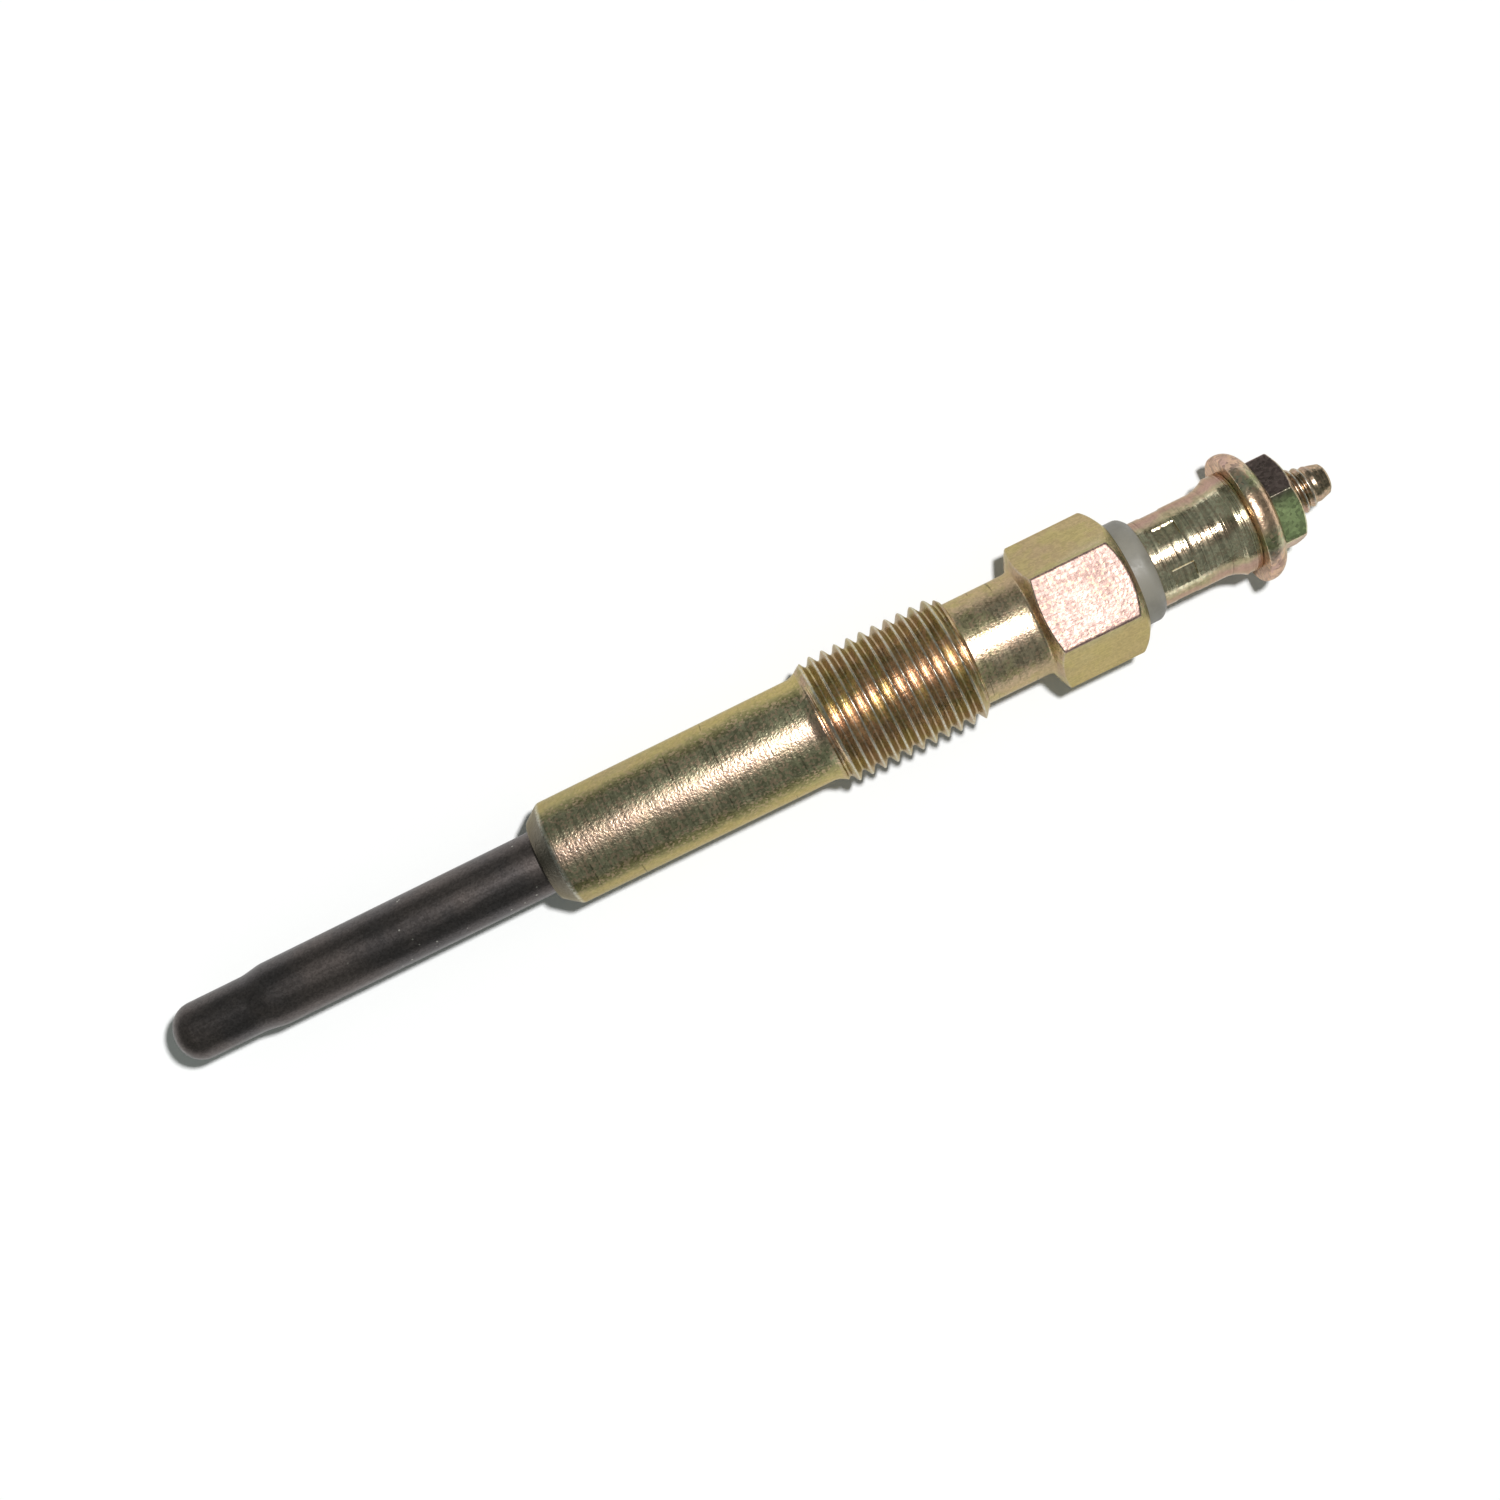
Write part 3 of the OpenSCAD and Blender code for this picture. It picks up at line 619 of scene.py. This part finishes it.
PLATE_GRAIN = 4600.0                    # scale of the plating's crystals
DRAW_RINGS, DRAW_WAVER = 160.0, 4400.0  # lines along a flat: slow along the axis, quick round it
PATCH_SHIFT = (0.31, 0.17, 0.53)        # keeps the second kind of patch apart from the first
PLATE_WANDER = 2.5 * MM                 # how far clouds move the borders of the plating's tints
NUT_WANDER = 1.8 * MM                   # the same for the nut
MEAN_TONE, TONE_SWING = 0.91, 0.29      # tone of the plating, and how far rings and grain move it
SCORE_LOSS, PAINTED_SIDE_SHADE = 0.5, 0.6      # light lost in a score, and painted shade on coppery sides
CLOUD_ROUGHNESS = 0.04                  # how far clouds move the plating's roughness


class Signal:
    """An output of a node, with which sums, differences and products can be written."""

    def __init__(self, wires, socket):
        self.wires = wires
        self.socket = socket

    def __add__(self, other):
        return self.wires.math("ADD", self, other)

    def __sub__(self, other):
        return self.wires.math("SUBTRACT", self, other)

    def __rsub__(self, other):
        return self.wires.math("SUBTRACT", other, self)

    def __mul__(self, other):
        return self.wires.math("MULTIPLY", self, other)

    __radd__ = __add__
    __rmul__ = __mul__


class Wiring:
    """Adds nodes to one tree and joins them."""

    def __init__(self, tree):
        self.tree = tree

    def fill(self, sockets, values):
        """Links a socket whose value is a signal and sets any other; a colour gets full opacity."""
        for key, value in values.items():
            if isinstance(value, Signal):
                self.tree.links.new(value.socket, sockets[key])
            else:
                sockets[key].default_value = (*value, 1.0) if isinstance(value, Color) else value

    def node(self, kind, inputs=None, **settings):
        """One node with its settings and inputs."""
        made = self.tree.nodes.new(kind)
        for key, value in settings.items():
            setattr(made, key, value)
        self.fill(made.inputs, inputs or {})
        return made

    def output(self, label, kind, inputs=None, **settings):
        """One output of a new node."""
        return Signal(self, self.node(kind, inputs, **settings).outputs[label])

    def outputs(self, kind, inputs=None, **settings):
        """All outputs of a new node by name."""
        made = self.node(kind, inputs, **settings)
        return {socket.name: Signal(self, socket) for socket in made.outputs}

    def math(self, operation, first, second=0.0):
        """Result of one sum."""
        return self.output(0, "ShaderNodeMath", {0: first, 1: second}, operation=operation)

    def span(self, value, low, high, to_low=0.0, to_high=1.0):
        """Value from low to high spread over another range, with eased ends."""
        ends = {"From Min": low, "From Max": high, "To Min": to_low, "To Max": to_high}
        return self.output("Result", "ShaderNodeMapRange", {"Value": value, **ends},
                           interpolation_type="SMOOTHSTEP")

    def mix(self, factor, first, second, blend="MIX"):
        """Colour between two colours."""
        return self.output(2, "ShaderNodeMix", {0: factor, 6: first, 7: second}, data_type="RGBA",
                           blend_type=blend)

    def toned(self, base, tone):
        """Colour made darker or lighter by a tone."""
        grey = self.output(0, "ShaderNodeCombineColor", {"Red": tone, "Green": tone, "Blue": tone})
        return self.mix(1.0, base, grey, "MULTIPLY")

    def noise(self, vector, scale, detail, roughness=0.5):
        """Cloudy value over the surface."""
        return self.output(0, "ShaderNodeTexNoise", {"Vector": vector, "Scale": scale, "Detail": detail,
                                                     "Roughness": roughness})

    def vector(self, operation, vector, parts):
        """Vector that is moved or stretched along the axes."""
        return self.output(0, "ShaderNodeVectorMath", {0: vector, 1: parts}, operation=operation)

    def part(self, vector, axis):
        """One part of a vector."""
        return self.output(axis, "ShaderNodeSeparateXYZ", {0: vector})

    def mark(self, label):
        """One of the mesh's own marks."""
        return self.output("Fac", "ShaderNodeAttribute", attribute_name=label)

    def group(self, tree, inputs):
        """Outputs of a node group."""
        return self.outputs("ShaderNodeGroup", inputs, node_tree=tree)

    def bump(self, height, relief, strength=1.0):
        """Normal of a surface whose relief is given in millimetres."""
        return self.output(0, "ShaderNodeBump", {"Height": height, "Distance": relief * MM,
                                                 "Strength": strength})


def emptied(owner):
    """Wiring of the node tree of a material, lamp or world, with no node in it."""
    owner.use_nodes = True
    owner.node_tree.nodes.clear()
    return Wiring(owner.node_tree)


def new_group(name, colours, numbers, outputs):
    """An empty node group on given coordinates, with named sockets: its tree, wiring and inner ends."""
    tree = bpy.data.node_groups.new(name, "ShaderNodeTree")
    inputs = {"Vector": "Vector", **dict.fromkeys(colours, "Color"), **dict.fromkeys(numbers, "Float")}
    for label, kind in inputs.items():
        tree.interface.new_socket(name=label, in_out="INPUT", socket_type=f"NodeSocket{kind}")
    for label, kind in outputs.items():
        tree.interface.new_socket(name=label, in_out="OUTPUT", socket_type=f"NodeSocket{kind}")
    wires = Wiring(tree)
    return tree, wires, wires.outputs("NodeGroupInput"), wires.node("NodeGroupOutput").inputs


def passivate_group():
    """Colour of chromate plating: three tints from the ridge to the sides, with two kinds of patch.

    The tint changes with the distance from the axis' upright plane, and clouds of noise lay the patches.
    """
    name = "Passivate tint"
    if name in bpy.data.node_groups:
        return bpy.data.node_groups[name]
    tree, wires, given, put = new_group(
        name, ("Ridge", "Top", "Side", "Patch A", "Patch B"),
        ("Ridge end", "Side start", "Side end", "Patch scale", "Patch amount"),
        {"Color": "Color", "Cloud": "Float", "Aside": "Float"})
    place, scale, amount = given["Vector"], given["Patch scale"], given["Patch amount"]
    cloud = wires.noise(place, scale, 4.0, 0.6)
    other = wires.noise(wires.vector("ADD", place, PATCH_SHIFT), scale, 3.0, 0.55)
    distance = wires.math("ABSOLUTE", wires.part(place, "Y")) + (cloud - 0.5) * PLATE_WANDER
    near = wires.span(distance, 0.0, given["Ridge end"])
    aside = wires.span(distance, given["Side start"], given["Side end"])
    base = wires.mix(aside, wires.mix(near, given["Ridge"], given["Top"]), given["Side"])
    patched = wires.mix(wires.span(cloud, 0.5, 0.68) * amount, base, given["Patch A"])
    tinted = wires.mix(wires.span(other, 0.5, 0.7) * amount, patched, given["Patch B"])
    wires.fill(put, {"Color": tinted, "Cloud": cloud, "Aside": aside})
    return tree


def turning_group():
    """Fine rings left by the lathe: noise that changes quickly along the axis and slowly round it.

    Its rare peaks are dark scores that run part of the way round.
    """
    name = "Turning marks"
    if name in bpy.data.node_groups:
        return bpy.data.node_groups[name]
    tree, wires, given, put = new_group(name, (), ("Rings", "Waver"),
                                        dict.fromkeys(("Height", "Tone", "Score"), "Float"))
    waver = given["Waver"]
    factors = wires.output(0, "ShaderNodeCombineXYZ", {"X": given["Rings"], "Y": waver, "Z": waver})
    place = wires.vector("MULTIPLY", given["Vector"], factors)
    rings = wires.noise(place, 1.0, 2.0, 0.55)
    coarse = wires.noise(wires.vector("MULTIPLY", place, (0.13, 0.5, 0.5)), 1.0, 3.0, 0.6)
    lines = wires.noise(wires.vector("MULTIPLY", place, (0.9, 1.6, 1.6)), 1.0, 0.0)
    wires.fill(put, {"Height": rings + 0.6 * coarse, "Tone": wires.span(rings + 0.4 * coarse, 0.5, 0.9),
                     "Score": wires.span(lines, 0.74, 0.80)})
    return tree


def grain_group():
    """Crystal grain: fine noise as height, cells with a tone of their own, and a few odd cells."""
    name = "Plate grain"
    if name in bpy.data.node_groups:
        return bpy.data.node_groups[name]
    tree, wires, given, put = new_group(name, (), ("Scale",),
                                        dict.fromkeys(("Height", "Sparkle", "Odd"), "Float"))
    place, scale = given["Vector"], given["Scale"]
    cells = wires.output("Color", "ShaderNodeTexVoronoi", {"Vector": place, "Scale": scale})
    tones = wires.outputs("ShaderNodeSeparateColor", {0: cells})
    wires.fill(put, {"Height": wires.noise(place, scale, 2.0, 0.6), "Sparkle": tones["Red"],
                     "Odd": wires.span(tones["Green"], 0.68, 0.8)})
    return tree


def new_material(name):
    """An empty node material, its wiring, its shader's sockets and its object coordinates."""
    material = bpy.data.materials.new(name)
    wires = emptied(material)
    shader = wires.node("ShaderNodeBsdfPrincipled")
    wires.node("ShaderNodeOutputMaterial", {"Surface": Signal(wires, shader.outputs[0])})
    return material, wires, shader.inputs, wires.output("Object", "ShaderNodeTexCoord")


def plated(name, c, ridge, top, side, side_span, ridge_end=2.0, patch_scale=170.0, patch_amount=0.24,
           shade_band=0.0, rings=4200.0, waver=0.03, ring_height=0.4, ring_tone=0.5, roughness=0.31, relief=0.038,
           odd=0.6):
    """Chromate-plated steel: patchy tint, painted shade bands beside the sides, lathe rings where the piece
    was turned, grain, and rubbed crests.

    Ridge, top and side are the tints from the upright plane outwards; ridge_end, side_span and relief are in
    millimetres, and the other values are shares or scales of noise.
    """
    material, wires, shader, place = new_material(name)
    tint = wires.group(passivate_group(), {
        "Vector": place, "Ridge": ridge, "Top": top, "Side": side, "Patch A": c.rose, "Patch B": c.leaf,
        "Ridge end": ridge_end * MM, "Side start": side_span[0] * MM, "Side end": side_span[1] * MM,
        "Patch scale": patch_scale, "Patch amount": patch_amount})
    turning = wires.group(turning_group(), {"Vector": place, "Rings": rings, "Waver": waver * rings})
    drawn = wires.group(turning_group(), {"Vector": place, "Rings": DRAW_RINGS, "Waver": DRAW_WAVER})
    grain = wires.group(grain_group(), {"Vector": place, "Scale": PLATE_GRAIN})
    worn, turned, warm, blush, dim = (wires.mark(label) for label in MARKS)
    aside = tint["Aside"]
    flat = wires.span(turned, 0.3, 0.0)

    # Tint: a painted shade band before each side, deeper below where dim is set, and copper in the thread
    # painted shade: the band is painted darker on the lower side than on the upper, where dim is set
    lower_side_shade = dim * wires.span(wires.part(place, "Y"), 1 * MM, -1 * MM, 0.8, 3.5)
    band = 4 * shade_band * (1 + lower_side_shade) * turned * aside * (1 - aside)
    tinge = wires.span(wires.noise(place, 420.0, 2.0, 0.6), 0.44, 0.62)
    flanks = wires.mix(tinge, c.copper, c.brass)
    coppery = wires.mix(warm, wires.mix(band, tint["Color"], c.shade_band), flanks)
    # painted shade: the flat that faces up takes the darker pearl tint, which tones down its highlight
    coloured = wires.mix(blush, coppery, c.pearl_with_painted_shade)

    # Tone: rings or draw lines and grain, calmer on flats and sides, dark in scores, painted shade on coppery
    # sides
    still = wires.math("MAXIMUM", flat * (1 - blush), 0.25 * blush)
    calm = 1 - wires.math("MAXIMUM", still, 0.8 * aside)
    lines = turning["Tone"] + flat * (drawn["Tone"] - turning["Tone"])
    mottle = wires.span(ring_tone * lines + grain["Sparkle"], 0.0, 1 + ring_tone, -TONE_SWING, TONE_SWING)
    # painted shade: coppery places such as the thread are darkened towards the sides
    kept = (1 - SCORE_LOSS * turned * turning["Score"]) * (1 - PAINTED_SIDE_SHADE * warm * aside)
    tone = (MEAN_TONE + mottle * wires.span(calm, 0.0, 1.0, 0.4, 1.0)) * kept
    grained = wires.mix(odd * calm * grain["Odd"], wires.toned(coloured, tone), c.apricot)
    bare = worn * wires.span(grain["Height"], 0.36, 0.56, 0.25, 1.0)
    # dim pulls the colour to this tint: heat stain on the seat, painted shade on the barrel's front and the
    # dents' walls
    base = wires.mix(bare, wires.mix(dim, grained, c.scorch_and_shade_tint), c.silver)

    # Sheen and relief: matt pink plating, and less relief where the surface is calm or coppery
    clouded = wires.span(tint["Cloud"], 0.3, 0.7, roughness - CLOUD_ROUGHNESS, roughness + CLOUD_ROUGHNESS)
    rough = clouded + 0.06 * (turning["Tone"] - warm) + 0.14 * blush
    height = ring_height * turned * turning["Height"] + 0.4 * flat * drawn["Height"] + grain["Height"]
    eased = wires.math("MAXIMUM", 0.5 * warm, 0.7 * still)
    strength = 1 - wires.math("MAXIMUM", eased, 0.5 * aside)
    wires.fill(shader, {"Base Color": base, "Roughness": rough, "Metallic": 1.0, "Specular Tint": c.edge,
                        "Normal": wires.bump(height, relief, strength)})
    return material


def nut_finish(c):
    """Plate of the nut: green on the -Y side of the axis, a much darker purple-brown on the +Y side."""
    material, wires, shader, place = new_material("Iridescent nut plate")
    grain = wires.group(grain_group(), {"Vector": place, "Scale": 3400.0})
    turning = wires.group(turning_group(), {"Vector": place, "Rings": 7000.0, "Waver": 500.0})
    turned, worn = wires.mark("turned"), wires.mark("worn")
    cloud = wires.noise(place, 420.0, 4.0, 0.6)
    across = wires.part(place, "Y") + (cloud - 0.5) * NUT_WANDER
    away = wires.math("ABSOLUTE", across)
    sides = wires.mix(wires.span(across, -0.8 * MM, 1.0 * MM), c.nut_green, c.nut_plum)
    flats = wires.mix(wires.span(across, -3.4 * MM, -3.9 * MM), sides, c.rose)
    ring = wires.mix(wires.span(cloud, 0.4, 0.62), c.nut_ring, c.leaf)
    # painted highlight: brighter apricot plate along the flange's top and bottom, where its glint falls
    crest = wires.mix(wires.span(away, 1.0 * MM, 2.6 * MM), c.apricot, ring)
    flange = wires.mix(wires.span(away, 3.0 * MM, 5.0 * MM), crest, c.rose)
    edged = wires.mix(worn, wires.mix(turned, flats, flange), c.silver)
    sparkled = wires.toned(edged, wires.span(grain["Sparkle"], 0.0, 1.0, 0.7, 1.2))
    height = 0.35 * turning["Height"] + grain["Height"] + 3.0 * cloud
    wires.fill(shader, {"Base Color": wires.mix(0.6 * turned * grain["Odd"], sparkled, c.apricot),
                        "Roughness": wires.span(cloud, 0.3, 0.7, 0.27, 0.38), "Metallic": 1.0,
                        "Specular Tint": c.edge, "Normal": wires.bump(height, 0.026)})
    return material


def oxide_finish(c):
    """Heat-darkened sheath: near-black oxide, clouded brown, faint draw lines and a few pale specks."""
    material, wires, shader, place = new_material("Sheath oxide")
    turning = wires.group(turning_group(), {"Vector": place, "Rings": 240.0, "Waver": 2600.0})
    grain = wires.group(grain_group(), {"Vector": place, "Scale": 6000.0})
    cloud = wires.noise(place, 130.0, 5.0, 0.6)
    base = wires.mix(wires.span(cloud, 0.35, 0.65), c.oxide, c.umber)
    grained = wires.toned(base, wires.span(grain["Sparkle"], 0.0, 1.0, 0.82, 1.18))
    dots = wires.output("Distance", "ShaderNodeTexVoronoi", {"Vector": place, "Scale": 900.0})
    behind_tip = wires.span(wires.part(place, "X"), -42 * MM, -34 * MM, 0.0, 0.6)
    specks = wires.span(dots, 0.10, 0.055) * behind_tip
    wires.fill(shader, {"Base Color": wires.mix(specks, grained, c.silver),
                        "Roughness": wires.span(cloud + 0.35 * turning["Tone"], 0.4, 1.1, 0.36, 0.48),
                        "Metallic": 1.0,
                        "Normal": wires.bump(0.15 * turning["Height"] + grain["Height"], 0.006)})
    return material


def moulded(name, base, scale, roughness, relief):
    """Moulded or pressed stuff: soft clouds of tone and a fine matt grain."""
    material, wires, shader, place = new_material(name)
    grain = wires.group(grain_group(), {"Vector": place, "Scale": scale})
    cloud = wires.noise(place, 0.06 * scale, 4.0, 0.6)
    wires.fill(shader, {"Base Color": wires.mix(wires.span(cloud, 0.35, 0.65), base * 0.86, base * 1.1),
                        "Roughness": wires.span(grain["Sparkle"], 0.0, 1.0, roughness, roughness - 0.12),
                        "Normal": wires.bump(grain["Height"], relief)})
    return material


def wire_finish(c):
    """Bare resistance wire: grey metal with a fine grain."""
    material, wires, shader, place = new_material("Resistance wire")
    grain = wires.group(grain_group(), {"Vector": place, "Scale": 12000.0})
    wires.fill(shader, {"Base Color": wires.mix(grain["Sparkle"], c.wire * 0.7, c.wire),
                        "Roughness": wires.span(grain["Height"], 0.3, 0.7, 0.3, 0.45), "Metallic": 1.0})
    return material


# Operators

ROUND_COLUMNS = 128       # columns round a plain turned piece
CORNER_COLUMNS = 12       # columns from a hexagon's corner to the middle of a flat


class PLUG_OT_sheath(bpy.types.Operator):
    """Builds the heater sheath"""
    bl_idname = "glow_plug.sheath"
    bl_label = "Heater sheath"

    def execute(self, context):
        settings = context.scene.glow_plug
        angles = even_angles(ROUND_COLUMNS)
        piece = turned_piece("heater_tube", sheath_runs(settings.sheath), angles, loop=False)
        settle(piece, "heater_sheath", oxide_finish(settings.colours))
        return {"FINISHED"}


class PLUG_OT_body(bpy.types.Operator):
    """Builds the threaded body with its hexagon"""
    bl_idname = "glow_plug.body"
    bl_label = "Threaded body"

    def execute(self, context):
        settings = context.scene.glow_plug
        c = settings.colours
        angles = corner_angles(CORNER_COLUMNS, 0.0)
        runs = body_runs(settings.body, settings.sheath, angles)
        piece = turned_piece("threaded_body", runs, angles, loop=True)
        finish = plated("Body plate", c, c.blush, c.olive, c.gold, side_span=(2.7, 4.4), shade_band=0.7)
        settle(piece, "body_shell", finish)
        return {"FINISHED"}


class PLUG_OT_collar(bpy.types.Operator):
    """Builds the insulating collar"""
    bl_idname = "glow_plug.collar"
    bl_label = "Insulating collar"

    def execute(self, context):
        settings = context.scene.glow_plug
        angles = even_angles(ROUND_COLUMNS)
        piece = turned_piece("insulating_collar", collar_runs(settings.terminal), angles, loop=True)
        finish = moulded("Collar resin", settings.colours.collar, scale=5200.0, roughness=0.55, relief=0.012)
        settle(piece, "insulating_bush", finish)
        return {"FINISHED"}


class PLUG_OT_terminal(bpy.types.Operator):
    """Builds the crimped sleeve, the flange nut and the rod with its threaded stud"""
    bl_idname = "glow_plug.terminal"
    bl_label = "Terminal"

    def execute(self, context):
        settings = context.scene.glow_plug
        s, c = settings.terminal, settings.colours
        angles = crimp_angles(s)
        sleeve = turned_piece("crimped_sleeve", sleeve_runs(s, angles), angles, loop=True)
        finish = plated("Sleeve plate", c, c.bronze, c.sleeve, c.sleeve_side, side_span=(2.5, 3.7),
                        ridge_end=1.2, patch_scale=260.0, patch_amount=0.3, shade_band=0.55, rings=4400.0,
                        waver=0.012, ring_height=5.0, ring_tone=1.0, roughness=0.17, relief=0.012, odd=0.35)
        settle(sleeve, "terminal_sleeve", finish)
        angles = corner_angles(CORNER_COLUMNS, s.nut_turn)
        nut = turned_piece("flange_nut", nut_runs(s, angles), angles, loop=True)
        settle(nut, "terminal_nut", nut_finish(c))
        angles = even_angles(ROUND_COLUMNS)
        rod = turned_piece("terminal_stud", rod_runs(s, angles), angles, loop=False)
        finish = plated("Stud plate", c, c.bronze, c.bronze, c.rose, side_span=(0.9, 2.2),
                        patch_scale=500.0, rings=6000.0, roughness=0.26, relief=0.02)
        settle(rod, "centre_rod", finish)
        return {"FINISHED"}


class PLUG_OT_inside(bpy.types.Operator):
    """Finishes the coils, powder and seals that the plug hides"""
    bl_idname = "glow_plug.inside"
    bl_label = "Inner parts"

    def execute(self, context):
        c = context.scene.glow_plug.colours
        wire = wire_finish(c)
        rubber = moulded("Seal rubber", c.rubber, scale=4000.0, roughness=0.7, relief=0.01)
        powder = moulded("Packed magnesia", c.magnesia, scale=7000.0, roughness=0.95, relief=0.02)
        finishes = {"heating_coil": wire, "control_coil": wire, "insulating_powder": powder,
                    "sheath_seal": rubber, "body_seal_ring": rubber}
        for node, finish in finishes.items():
            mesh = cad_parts[node].data
            mesh.materials.clear()
            mesh.materials.append(finish)
        return {"FINISHED"}


def lay_floor(s):
    """The pale table top."""
    half = s.floor_size / 2
    corners = [(-half, -half, 0), (half, -half, 0), (half, half, 0), (-half, half, 0)]
    mesh = bpy.data.meshes.new("floor")
    mesh.from_pydata(corners, [], [(0, 1, 2, 3)])
    material, wires, shader, _ = new_material("Table top")
    wires.fill(shader, {"Base Color": s.floor_colour, "Roughness": 1.0, "Specular IOR Level": 0.0})
    mesh.materials.append(material)
    linked("floor", mesh)


def hang_lamp(s):
    """The round lamp, whose light on the floor is the same all over the middle and fades further out.

    With u the cosine of a ray's slant, its strength is the lesser of 1 / u and u^3 / EVEN_SLANT^4.
    """
    lamp = bpy.data.lights.new("key", "POINT")
    lamp.energy = 4 * math.pi * s.key_strength
    lamp.shadow_soft_size = s.key_radius
    wires = emptied(lamp)
    down = wires.part(wires.output("Normal", "ShaderNodeTexCoord"), "Z")
    slant = wires.math("MAXIMUM", wires.math("ABSOLUTE", down), LEAST_SLANT)
    fade = wires.math("POWER", slant, 3.0) * EVEN_SLANT ** -4
    even = wires.math("MINIMUM", wires.math("DIVIDE", 1.0, slant), fade)
    level = wires.output("Constant", "ShaderNodeLightFalloff", {"Strength": even})
    emission = wires.output(0, "ShaderNodeEmission", {"Strength": level})
    wires.node("ShaderNodeOutputLight", {"Surface": emission})
    linked("key", lamp).location = s.key_place


def light_world(s):
    """The dim dome and the band at its horizon."""
    world = bpy.data.worlds.new("studio")
    wires = emptied(world)
    up = wires.part(wires.output("Generated", "ShaderNodeTexCoord"), "Z")
    light = wires.mix(wires.span(up, *HORIZON_BAND), s.horizon, s.dome)
    background = wires.output(0, "ShaderNodeBackground", {"Color": light, "Strength": 1.0})
    wires.node("ShaderNodeOutputWorld", {"Surface": background})
    bpy.context.scene.world = world


def set_camera(s):
    """The camera at its place, aimed at its point and turned so that the plug's axis slopes."""
    lens = bpy.data.cameras.new("camera")
    lens.lens = s.lens
    lens.sensor_width = SENSOR_WIDTH
    lens.clip_start = CLIP_START
    camera = linked("camera", lens)
    ahead = (Vector(s.camera_aim) - Vector(s.camera_place)).normalized()
    right = ahead.cross(Vector((math.sin(s.camera_turn), math.cos(s.camera_turn), 0))).normalized()
    above = right.cross(ahead)
    turn = Matrix((right, above, -ahead)).transposed().to_4x4()
    camera.matrix_world = Matrix.Translation(Vector(s.camera_place)) @ turn
    bpy.context.scene.camera = camera


class PLUG_OT_stage(bpy.types.Operator):
    """Lays the floor, lights it and sets the camera"""
    bl_idname = "glow_plug.stage"
    bl_label = "Stage"

    def execute(self, context):
        stage = context.scene.glow_plug.stage
        lay_floor(stage)
        hang_lamp(stage)
        light_world(stage)
        set_camera(stage)
        context.scene.view_settings.view_transform = "Standard"
        return {"FINISHED"}


class PLUG_PT_panel(bpy.types.Panel):
    """Lists the pieces of the plug"""
    bl_idname = "PLUG_PT_panel"
    bl_label = "Glow plug"
    bl_space_type = "VIEW_3D"
    bl_region_type = "UI"
    bl_category = "Glow plug"

    def draw(self, context):
        for operator in OPERATORS:
            self.layout.operator(operator.bl_idname)


OPERATORS = (PLUG_OT_stage, PLUG_OT_sheath, PLUG_OT_body, PLUG_OT_collar, PLUG_OT_terminal, PLUG_OT_inside)
CLASSES = (PlugSheathSizes, PlugBodySizes, PlugTerminalSizes, PlugColours, PlugStage, PlugSettings,
           *OPERATORS, PLUG_PT_panel)


def register():
    for made in CLASSES:
        bpy.utils.register_class(made)
    bpy.types.Scene.glow_plug = PointerProperty(type=PlugSettings)


def unregister():
    del bpy.types.Scene.glow_plug
    for made in reversed(CLASSES):
        bpy.utils.unregister_class(made)


def main():
    """Builds every piece."""
    register()
    bpy.ops.glow_plug.stage()
    bpy.ops.glow_plug.sheath()
    bpy.ops.glow_plug.body()
    bpy.ops.glow_plug.collar()
    bpy.ops.glow_plug.terminal()
    bpy.ops.glow_plug.inside()


if __name__ == "__main__":
    main()
